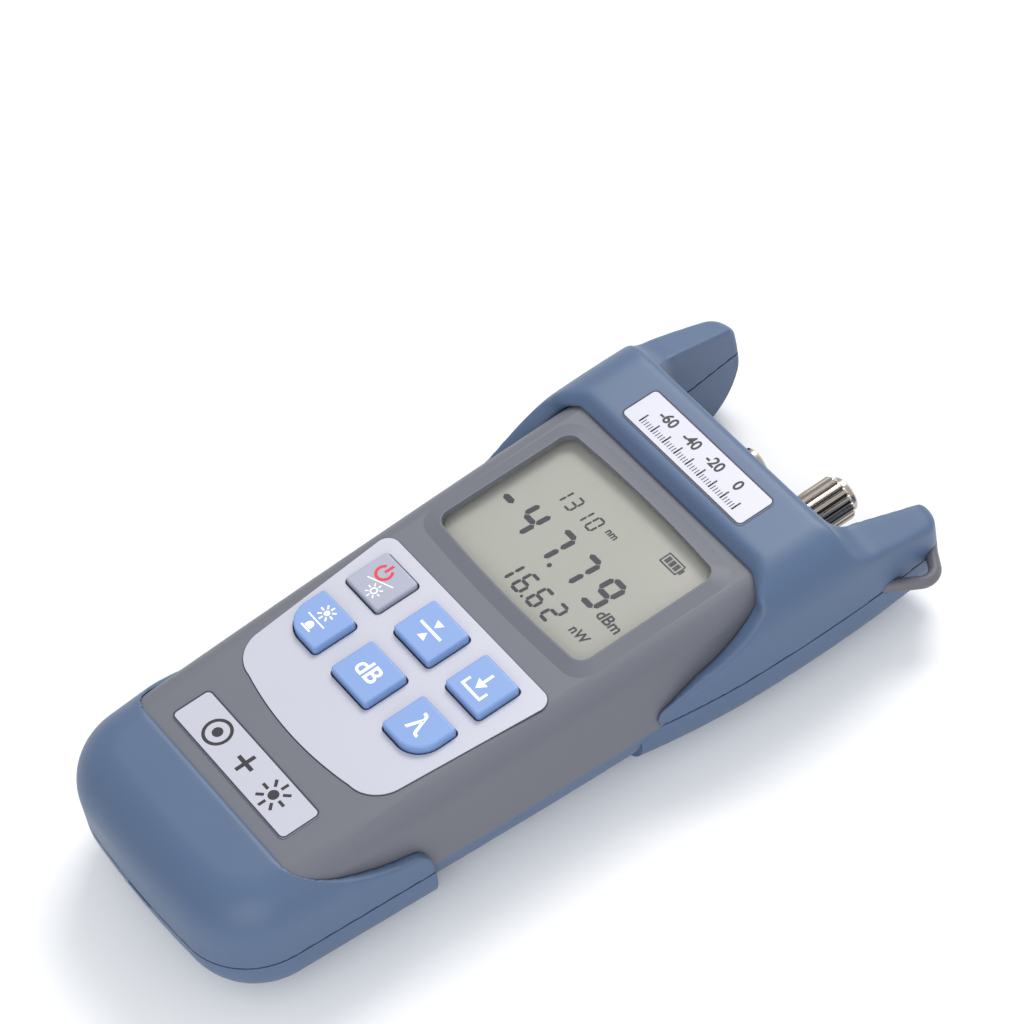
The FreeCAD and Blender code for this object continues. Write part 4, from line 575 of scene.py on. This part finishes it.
def moved(outline, x, y, turn=0.0, scale=1.0):
    """An outline turned, scaled and shifted."""
    cosine, sine = math.cos(math.radians(turn)), math.sin(math.radians(turn))
    return [(x + scale * (cosine * px - sine * py), y + scale * (sine * px + cosine * py))
            for px, py in outline]


def rays(x, y, start, end, width, count=8):
    """Short strokes that point away from a centre, evenly all round."""
    return [moved(bar((start, 0), (end, 0), width), x, y, 360 / count * step) for step in range(count)]


print("a sun has", len(rays(0, 0, 1, 2, 0.3)), "rays")

# %% [markdown]
# ## Soft edges on the moulded covers
#
# The head cap and the boot are moulded in a slightly soft plastic, and none of their creases is sharp. A
# bevel would need clean edges, and a mesh from CAD has slivers along its curves. A voxel grid replaces the
# triangles with even ones instead, and rounds of smoothing then roll every crease over. The smoothing is
# strongest near the face and fades out toward the seam, where the covers meet the rear shell edge to
# edge. The even mesh is thinned at the end, because flat areas need few faces.

# %% Roll the edges over
VOXEL = 0.35
SMOOTHING = 0.5
LIGHT_ROUNDS = 6
FADE_FROM = 18.0
KEPT_FACES = 0.35


def modified(mesh, kind, weights=None, **settings):
    """A copy of a mesh with one modifier applied, which may act more where the weights are high."""
    holder = held(mesh)
    modifier = holder.modifiers.new(kind, kind)
    if weights:
        group = holder.vertex_groups.new(name="weights")
        for index, weight in enumerate(weights):
            group.add([index], weight, "REPLACE")
        modifier.vertex_group = group.name
    for setting, value in settings.items():
        setattr(modifier, setting, value)
    result = evaluated(holder)
    bpy.data.meshes.remove(mesh)
    return result


def softened(node, rounds, fade_to, material):
    """Replace a moulded part with a copy whose creases are rolled over, most above the level fade_to."""
    shape = NODES[node].data.copy()
    finish_mesh(shape)
    shape = modified(shape, "REMESH", mode="VOXEL", voxel_size=VOXEL * MM)
    shape = modified(shape, "SMOOTH", factor=SMOOTHING, iterations=LIGHT_ROUNDS)
    weights = [min(max((vert.co.z / MM - FADE_FROM) / (fade_to - FADE_FROM), 0.0), 1.0)
               for vert in shape.vertices]
    shape = modified(shape, "SMOOTH", weights, factor=SMOOTHING, iterations=rounds)
    shape = modified(shape, "DECIMATE", ratio=KEPT_FACES)
    shape.polygons.foreach_set("use_smooth", [True] * len(shape.polygons))
    piece = add_piece(node + "_moulded", shape, material, "meter", slots[node])
    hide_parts(node)
    print(piece.name, "triangles", sum(len(face.vertices) - 2 for face in shape.polygons))


softened("head_cap", rounds=70, fade_to=24.0, material=BLUE)
softened("bottom_boot", rounds=10, fade_to=25.0, material=BLUE)

# %% [markdown]
# ## The liquid crystal display
#
# Such a display has no font. A digit is seven slanted segments with pointed ends and small gaps, and each
# number lights some of them. A font with such digits would be a file of its own, and its strokes would be
# fixed. So each segment is drawn in a unit box, one high, and then scaled, leaned and set in a row.

# %% Draw a digit
SEGMENTS = {
    "0": "abcdef", "1": "bc", "2": "abged", "3": "abgcd", "4": "fgbc", "5": "afgcd",
    "6": "afgcde", "7": "abc", "8": "abcdefg", "9": "abcdfg", "-": "g",
}
DIGIT_WIDTH = 0.56
SEGMENT_GAP = 0.02
KNEE = 0.9
POINT_RADIUS = 0.06
LEAN = 0.10


def segment(letter, stroke):
    """One segment of a unit digit, as a hexagon."""
    half = stroke / 2
    left, right = half, DIGIT_WIDTH - half
    low, mid, high = half, 0.5, 1.0 - half
    spans = {
        "a": ((left, high), (right, high)), "b": ((right, mid), (right, high)),
        "c": ((right, low), (right, mid)), "d": ((left, low), (right, low)),
        "e": ((left, low), (left, mid)), "f": ((left, mid), (left, high)),
        "g": ((left, mid), (right, mid)),
    }
    start, end = (Vector(spot) for spot in spans[letter])
    along = (end - start).normalized()
    side = Vector((-along.y, along.x)) * half
    start, end = start + along * SEGMENT_GAP, end - along * SEGMENT_GAP
    knee = along * half * KNEE
    return [tuple(point) for point in (start, start + knee - side, end - knee - side, end,
                                       end - knee + side, start + knee + side)]


def digits(text, x, y, height, spacing, stroke):
    """Outlines for a row of digits from the left end x, resting on y."""
    outlines = []
    for sign in text:
        if sign == ".":
            between = x - (spacing - DIGIT_WIDTH) / 2 * height
            outlines.append(disc(between, y + POINT_RADIUS * height, POINT_RADIUS * height, 12))
            continue
        for letter in SEGMENTS[sign]:
            outlines.append([(x + height * (px + LEAN * py), y + height * py)
                             for px, py in segment(letter, stroke)])
        x += spacing * height
    return outlines


print("an eight has", len(digits("8", 0, 0, 1, 0.86, 0.13)), "segments")

# %% [markdown]
# ### The reading
#
# The display shows three lines: the wavelength, small; the power in decibels, large; and the same power
# in linear units, medium. They lie on the display glass under the window, as the crystal does, and only
# the segments that are lit are made. All places are millimetres from the middle of the window.

# %% Show the reading
CRYSTAL_HEIGHT = 0.06
window = middle("window_lens")
glass_top = top("display_glass")

# text, left end, base line, height, spacing, stroke
ROWS = (
    ("1310", -17.2, 5.8, 4.5, 0.86, 0.115),
    ("-", -26.3, -7.0, 9.9, 0.94, 0.16),
    ("47.79", -18.3, -7.0, 9.9, 0.94, 0.14),
    ("16.62", -8.6, -16.5, 6.3, 0.86, 0.13),
)
lit = []
for text, x, y, height, spacing, stroke in ROWS:
    lit += digits(text, window.x + x, window.y + y, height, spacing, stroke)
plate("display_digits", lit, glass_top, CRYSTAL_HEIGHT, CRYSTAL, slot_name="display")
print("outlines in the reading:", len(lit))

# %% [markdown]
# The units beside the lines and the battery in the corner are fixed shapes on the same glass. The units
# have round letters, which seven segments cannot show, so they are lettered and leaned like the digits.

# %% Show the units and the battery
# unit, middle across and along, size
UNITS = (("nm", 0.8, 9.2, 2.7), ("dBm", 20.0, -5.9, 4.0), ("nW", 18.2, -12.9, 3.4))
for unit, x, y, size in UNITS:
    lettering("display_" + unit.lower(), unit, window.x + x, window.y + y, size, glass_top, CRYSTAL_HEIGHT,
              CRYSTAL, slot_name="display", bold=0.06, lean=LEAN)

battery = window + Vector((16.4, 14.3, 0))
cell_bars = [round_box(battery.x + offset, battery.y, 1.15, 1.8, 0.08) for offset in (-1.5, 0.0, 1.5)]
battery_case = [round_box(battery.x, battery.y, 5.8, 3.3, 0.25),
                round_box(battery.x, battery.y, 5.1, 2.6, 0.2)]
battery_pole = [round_box(battery.x + 3.25, battery.y, 0.6, 1.6, 0.1)]
plate("display_battery", battery_case + battery_pole + cell_bars, glass_top, CRYSTAL_HEIGHT, CRYSTAL,
      slot_name="display")
print("display pieces:", [piece.name for piece in PIECES if piece.name.startswith("display")])

# %% [markdown]
# ## Key legends
#
# Legends are pad printed: a soft pad lays a coat of ink on the finished key. A material could paint them,
# but ink stands proud of its key and has a clean edge close up, so each one is a thin plate. It rides on
# its key's own body and goes down when the key is pressed. It sinks a hair into the key, so that no gap
# shows under its edge.
#
# The power key has a ring with a stroke in red, and below a slanting line a sun for the backlight.

# %% Print the power key
PRINT_HEIGHT = 0.05
PRINT_SINK = 0.01


def on_key(key, name, outlines, material=WHITE_INK, dx=0.0, dy=0.0, scale=1.0):
    """Print outlines on a key, placed from the middle of its top."""
    place = middle(key)
    placed = [moved(outline, place.x + dx, place.y + dy, scale=scale) for outline in outlines]
    plate(name, placed, top(key) - PRINT_SINK, PRINT_HEIGHT, material, key + "_body", slots[key])


power_symbol = [ring_band(0, 0, 1.9, 0.7, 128, 412), bar((0, 0.2), (0, 2.7), 0.7)]
on_key("power_key", "power_mark", power_symbol, RED_INK, dx=-1.4, dy=1.7)
on_key("power_key", "power_slash", [bar((-3.1, -2.1), (3.4, 0.4), 0.28)], dy=0.4)
small_sun = [disc(0, 0, 0.95), disc(0, 0, 0.62)] + rays(0, 0, 1.25, 2.05, 0.3)
on_key("power_key", "backlight_mark", small_sun, dx=1.2, dy=-2.9)
print("pieces so far:", len(PIECES))

# %% [markdown]
# The reference key has a level line between two arrows, and the key that stores a reading has an arrow
# into a tray. Outlines in one plate must not overlap, because where two cover each other the fill turns
# into a hole. So the tray is one outline, and the arrow's shaft stops a hair before its head.

# %% Print the reference and store keys
STROKE = 0.55

level_mark = [bar((-3.0, 0), (3.0, 0), STROKE),
              [(0, 0.75), (-1.0, 2.3), (1.0, 2.3)], [(0, -0.75), (1.0, -2.3), (-1.0, -2.3)]]
on_key("reference_key", "reference_mark", level_mark, scale=1.25)

wall_out, wall_in = 2.6 + STROKE / 2, 2.6 - STROKE / 2
floor_out, floor_in = -2.4 - STROKE / 2, -2.4 + STROKE / 2
rim = -0.6
tray = [(-wall_in, rim), (-wall_in, floor_in), (wall_in, floor_in), (wall_in, rim),
        (wall_out, rim), (wall_out, floor_out), (-wall_out, floor_out), (-wall_out, rim)]
arrow = [bar((0, 2.7), (0, 0.5), 0.6), [(0, -1.4), (-1.35, 0.45), (1.35, 0.45)]]
on_key("store_key", "store_mark", [tray] + arrow, scale=1.2)
print("pieces so far:", len(PIECES))

# %% [markdown]
# The key for the light source shows a burst of light over a line, and a small lamp below it. The lamp's
# dome is half a circle, closed by its straight sides and foot, so it is one outline too.

# %% Print the light key
lamp = [arc(0, -2.4, 1.0, 0, 180) + [(-1.0, -3.2), (1.0, -3.2)], bar((-1.6, -3.6), (1.6, -3.6), 0.45)]
burst = [disc(0, 2.2, 0.75)] + rays(0, 2.2, 1.15, 2.2, 0.42)
on_key("light_key", "light_mark", burst + [bar((-3.0, -0.7), (3.0, -0.7), 0.34)] + lamp)
print("pieces so far:", len(PIECES))

# %% [markdown]
# Two keys carry letters: the unit of the reading, and the Greek letter for the wavelength. The built-in font
# has both, and it only needs to be made a little bolder.

# %% Print the letters
for key, text, size in (("decibel_key", "dB", 6.2), ("wavelength_key", "λ", 7.2)):
    spot = middle(key)
    lettering(key + "_mark", text, spot.x, spot.y, size, top(key) - PRINT_SINK, PRINT_HEIGHT, WHITE_INK,
              key + "_body", slots[key], bold=0.09)
print("pieces so far:", len(PIECES))


# %% [markdown]
# ## Painted shadow lines along edges
#
# The film round the keys and the window is die cut, and its edge catches a thin dark line of shadow. The
# line could be drawn from a few round boxes, but it has to follow every curve of the real part. So its
# outline is read back from the part's mesh: the edges between the flat top and the slopes round it, linked
# into closed loops. The longest loop is the outer edge of the part, and the others are its holes.

# %% Trace a part's flat top
TRACE_MERGE = 1e-6
SAME_LEVEL = 1e-5
FACES_UP = 0.9


def perimeter(loop):
    return sum(math.dist(first, second) for first, second in zip(loop, loop[1:] + loop[:1]))


def top_loops(node):
    """Closed outlines of a part's flat top in millimetres, the longest first."""
    shape = bmesh.new()
    shape.from_mesh(NODES[node].data)
    bmesh.ops.remove_doubles(shape, verts=shape.verts, dist=TRACE_MERGE)
    level = max(vert.co.z for vert in shape.verts) - SAME_LEVEL
    flat = {face for face in shape.faces
            if face.normal.z > FACES_UP and face.calc_center_median().z > level}
    beside = {}
    for edge in shape.edges:
        if sum(face in flat for face in edge.link_faces) == 1:
            for here, there in (edge.verts, reversed(edge.verts)):
                beside.setdefault(here, []).append(there)
    loops = []
    while beside:
        here = next(iter(beside))
        loop = []
        while here in beside:
            ahead = [vert for vert in beside.pop(here) if vert in beside]
            loop.append((here.co.x / MM, here.co.y / MM))
            here = ahead[0] if ahead else None
        loops.append(loop)
    shape.free()
    return sorted(loops, key=perimeter, reverse=True)


film_loops = top_loops("keypad_overlay")
lens_loop = top_loops("window_lens")[0]
print("outlines on the film:", len(film_loops), "longest", round(perimeter(film_loops[0]), 1))


# %% [markdown]
# A second loop a fraction of a millimetre from the first one makes the band. The film's own painted shadow
# line lies on the panel, just outside the film, and those of the key holes lie on the film beside each hole.
# Just inside the edge of the window's lens lies a black band of painted shade. A darker material could not
# draw these lines, because no face of the parts ends where they do.

# %% Draw the painted shadow lines along the film, the keys and the window
LINE_HEIGHT = 0.03
LINE_LIFT = 0.01
FILM_SHADOW = 0.24
KEY_HOLE_SHADOW = 0.16
LENS_SHADOW_OUT, LENS_SHADOW_IN = 0.02, 0.35


def grown(loop, distance):
    """A closed outline moved outward by a distance."""
    area = sum(ax * by - bx * ay for (ax, ay), (bx, by) in zip(loop, loop[1:] + loop[:1]))
    out = []
    for index, (x, y) in enumerate(loop):
        (ax, ay), (bx, by) = loop[index - 1], loop[(index + 1) % len(loop)]
        run = Vector((bx - ax, by - ay)).normalized() * math.copysign(distance, area)
        out.append((x + run.y, y - run.x))
    return out


panel_level = low_corner("keypad_overlay").z
# painted shadow: a dark band on the panel along the film's outer edge
plate("overlay_shadow_line", [grown(film_loops[0], FILM_SHADOW), film_loops[0]], panel_level + LINE_LIFT,
      LINE_HEIGHT, EDGE_INK_AND_SHADOW)
# painted shadow: a dark band on the film beside each key hole
for number, hole in enumerate(film_loops[1:]):
    plate("key_hole_shadow_line_%d" % number, [grown(hole, KEY_HOLE_SHADOW), hole], top("keypad_overlay"),
          LINE_HEIGHT, EDGE_INK_AND_SHADOW)
# painted shade: a black band just inside the edge of the window's lens
plate("lens_shadow_line", [grown(lens_loop, LENS_SHADOW_OUT), grown(lens_loop, -LENS_SHADOW_IN)],
      top("window_lens"), LINE_HEIGHT, BLACK)
print("lines:", [piece.name for piece in PIECES if "_line" in piece.name])

# %% [markdown]
# ## Labels
#
# Both labels are stickers with a fine dark frame printed along their edge. It could be traced like the
# film's line, but a label is a plain box with round corners, so two round boxes are enough.

# %% Frame the labels
FRAME_LINE = 0.38
LABEL_CORNER = 1.5


def frame_label(node):
    """A thin frame along a label's edge."""
    centre, size = middle(node), high_corner(node) - low_corner(node)
    outer = round_box(centre.x, centre.y, size.x, size.y, LABEL_CORNER)
    inner = round_box(centre.x, centre.y, size.x - 2 * FRAME_LINE, size.y - 2 * FRAME_LINE,
                      LABEL_CORNER - FRAME_LINE)
    plate(node + "_edge", [outer, inner], top(node), LINE_HEIGHT, EDGE_INK_AND_SHADOW)


frame_label("top_label")
frame_label("bottom_label")
print("pieces so far:", len(PIECES))

# %% [markdown]
# ### The scale on the head's label
#
# The label on the head carries a plain scale of power levels, from the weakest light the meter can read
# to the strongest. The numbers could be placed one by one, but a level's place follows from its value, so
# they always fit the marks.

# %% Number the scale
LOWEST_LEVEL, HIGHEST_LEVEL = -70, 10
SCALE_RUN = 34.0
NUMBER_RISE, NUMBER_SIZE = 1.6, 3.9

scale_middle = middle("top_label")
scale_level = top("top_label")
scale_start = scale_middle.x - SCALE_RUN / 2
for reading in (-60, -40, -20, 0):
    x = scale_start + SCALE_RUN * (reading - LOWEST_LEVEL) / (HIGHEST_LEVEL - LOWEST_LEVEL)
    lettering("scale_number_%d" % abs(reading), str(reading), x, scale_middle.y + NUMBER_RISE, NUMBER_SIZE,
              scale_level, LINE_HEIGHT, DARK_INK, bold=0.1)
print("pieces so far:", len(PIECES))

# %% [markdown]
# ### Pictograms for the ports
#
# The label at the foot names the two ports without words: a ring for the input and a burst of light for
# the source, with a plus between them. The plus is one outline, made of an arm turned four times, because
# two crossed bars would cut a hole where they overlap.

# %% Draw the port pictograms
PORT_OFFSET = 11.0
PLUS_REACH, PLUS_HALF = 2.6, 0.5

port_ring = [disc(-PORT_OFFSET, 0, radius) for radius in (3.6, 2.8, 1.3)]
plus_arm = [(-PLUS_HALF, PLUS_HALF), (-PLUS_HALF, PLUS_REACH), (PLUS_HALF, PLUS_REACH)]
plus_mark = [point for turn in (0, -90, -180, -270) for point in moved(plus_arm, 0, 0, turn)]
light_burst = [disc(PORT_OFFSET, 0, 1.3)] + rays(PORT_OFFSET, 0, 2.1, 4.0, 0.75)
foot = middle("bottom_label")
plate("bottom_marks", [moved(outline, foot.x, foot.y) for outline in port_ring + [plus_mark] + light_burst],
      top("bottom_label"), LINE_HEIGHT, DARK_INK)
print("pieces so far:", len(PIECES))

# %% [markdown]
# ### The graduation
#
# The scale's graduation is two rows of equal marks: a long one every ten decibels and a short one every
# two. Drawing them in a loop would work, but a row of equal things is what geometry nodes do best: a line
# of points carries one small box each, and a change of count or pitch needs no new drawing.

# %% Build the graduation's node tree
def graduation(name, material):
    """A node tree that lays equal marks in a row, and its inputs by name."""
    group = bpy.data.node_groups.new(name, "GeometryNodeTree")
    group.interface.new_socket("Geometry", in_out="OUTPUT", socket_type="NodeSocketGeometry")
    inputs = {"Count": group.interface.new_socket("Count", in_out="INPUT", socket_type="NodeSocketInt")}
    for label in ("Pitch", "Width", "Length", "Height"):
        inputs[label] = group.interface.new_socket(label, in_out="INPUT", socket_type="NodeSocketFloat")
    nodes, links = group.nodes, group.links
    source = nodes.new("NodeGroupInput")
    line = nodes.new("GeometryNodeMeshLine")
    line.mode = "OFFSET"
    links.new(source.outputs["Count"], line.inputs["Count"])
    step = nodes.new("ShaderNodeCombineXYZ")
    links.new(source.outputs["Pitch"], step.inputs["X"])
    links.new(step.outputs["Vector"], line.inputs["Offset"])
    sizes = nodes.new("ShaderNodeCombineXYZ")
    for label, axis in (("Width", "X"), ("Length", "Y"), ("Height", "Z")):
        links.new(source.outputs[label], sizes.inputs[axis])
    mark = nodes.new("GeometryNodeMeshCube")
    links.new(sizes.outputs["Vector"], mark.inputs["Size"])
    spread = nodes.new("GeometryNodeInstanceOnPoints")
    links.new(line.outputs["Mesh"], spread.inputs["Points"])
    links.new(mark.outputs["Mesh"], spread.inputs["Instance"])
    real = nodes.new("GeometryNodeRealizeInstances")
    links.new(spread.outputs["Instances"], real.inputs["Geometry"])
    paint = nodes.new("GeometryNodeSetMaterial")
    paint.inputs["Material"].default_value = material
    links.new(real.outputs["Geometry"], paint.inputs["Geometry"])
    target = nodes.new("NodeGroupOutput")
    links.new(paint.outputs["Geometry"], target.inputs["Geometry"])
    return group, {label: socket.identifier for label, socket in inputs.items()}


graduation_tree, graduation_inputs = graduation("graduation", DARK_INK)
print("inputs:", list(graduation_inputs))


# %% [markdown]
# The tree is run twice with different numbers. The result is turned into a plain mesh, and the modifier
# goes before the frame sees the piece.

# %% Graduate the scale
def scale_marks(count, pitch, width, length):
    """A row of equal marks as a plain mesh, with the first mark at the origin."""
    holder = held(bpy.data.meshes.new("holder"))
    modifier = holder.modifiers.new("marks", "NODES")
    modifier.node_group = graduation_tree
    modifier[graduation_inputs["Count"]] = count
    for label, value in (("Pitch", pitch), ("Width", width), ("Length", length), ("Height", LINE_HEIGHT)):
        modifier[graduation_inputs[label]] = value * MM
    return evaluated(holder)


MARKS_INSET = 3.5
for name, steps, width, length in (("scale_long", 8, 0.42, 2.6), ("scale_short", 40, 0.22, 1.5)):
    marks = scale_marks(steps + 1, SCALE_RUN / steps, width, length)
    place = Vector((scale_start, scale_middle.y - MARKS_INSET + length / 2, scale_level + LINE_HEIGHT / 2))
    marks.transform(Matrix.Translation(place * MM))
    add_piece(name, marks, DARK_INK, "meter", "silver_film")
print("pieces:", len(PIECES))

# %% [markdown]
# ## Floor
#
# The meter lies on a white table, and a pale floor catches its shadow. A shadow catcher would leave out the
# light that the table throws back under the covers, so the floor is a real one. It lies a fraction of a
# millimetre below the meter's back, so that the two never share a plane.

# %% Set the floor
FLOOR_REACH = 6.0
FLOOR_DROP = 0.3 * MM

scene = bpy.context.scene
corners = [(x * FLOOR_REACH, y * FLOOR_REACH, -FLOOR_DROP) for x, y in ((-1, -1), (1, -1), (1, 1), (-1, 1))]
floor_mesh = bpy.data.meshes.new("floor")
floor_mesh.from_pydata(corners, [], [(0, 1, 2, 3)])
floor = bpy.data.objects.new("floor", floor_mesh)
scene.collection.objects.link(floor)
paper = finish("floor_paper", srgb(248, 248, 248), roughness=0.9, vary=0.004, specular=0.0)
floor_mesh.materials.append(paper)
print("floor:", [round(length, 1) for length in floor.dimensions], "metres")

# %% [markdown]
# ## Light
#
# A product table has a bright room round it and two large soft boxes. A panorama of a studio could light it
# too, but an even room and two lamps are easier to steer. The stronger lamp stands beyond the head on the
# left, and the weaker one fills the side that faces the camera. Both are large against the meter, so the
# shadows have soft edges.

# %% Light the table
WARM, COOL = (1.0, 0.98, 0.96), (0.95, 0.97, 1.0)
ROOM_STRENGTH = 0.75

world = bpy.data.worlds.new("studio")
scene.world = world
world.use_nodes = True
background = world.node_tree.nodes["Background"]
background.inputs["Color"].default_value = (*COOL, 1)
background.inputs["Strength"].default_value = ROOM_STRENGTH


def softbox(name, place, size, watts, colour):
    """A rectangular soft box that faces the meter."""
    light = bpy.data.lights.new(name, "AREA")
    light.shape = "RECTANGLE"
    light.size, light.size_y = size
    light.energy = watts
    light.color = colour
    stand = bpy.data.objects.new(name, light)
    stand.location = place
    stand.rotation_euler = (-Vector(place)).to_track_quat("-Z", "Y").to_euler()
    scene.collection.objects.link(stand)


softbox("key_light", (-0.35, 0.55, 0.75), size=(0.5, 0.35), watts=6.0, colour=WARM)
softbox("fill_light", (0.7, -0.5, 0.6), size=(0.7, 0.7), watts=4.0, colour=COOL)

# %% [markdown]
# ## Camera
#
# The meter lies turned on the table and is seen from above its lower right. A long lens from about a metre
# away keeps its sides nearly parallel. Aiming the camera at a point would leave its roll open, so its two
# image axes are given instead, as directions in the meter's frame. They are squared up against each other,
# and the place is in millimetres.

# %% Place the camera
LENS, SENSOR = 158.2, 36.0
NEAR, FAR = 0.01, 20.0
CAMERA_PLACE = (553.4, -265.5, 805.8)
IMAGE_RIGHT = (0.58, 0.804, -0.131)
IMAGE_DOWN = (0.582, -0.521, -0.624)

camera_data = bpy.data.cameras.new("camera")
camera_data.sensor_width = SENSOR
camera_data.lens = LENS
camera_data.clip_start = NEAR
camera_data.clip_end = FAR
camera = bpy.data.objects.new("camera", camera_data)
right = Vector(IMAGE_RIGHT).normalized()
forward = right.cross(Vector(IMAGE_DOWN)).normalized()
down = forward.cross(right).normalized()
turn = Matrix((right, -down, -forward)).transposed()
camera.matrix_world = Matrix.Translation(Vector(CAMERA_PLACE) * MM) @ turn.to_4x4()
scene.collection.objects.link(camera)
scene.camera = camera
scene.view_settings.view_transform = "Standard"
print("camera at", [round(value, 3) for value in camera.location])
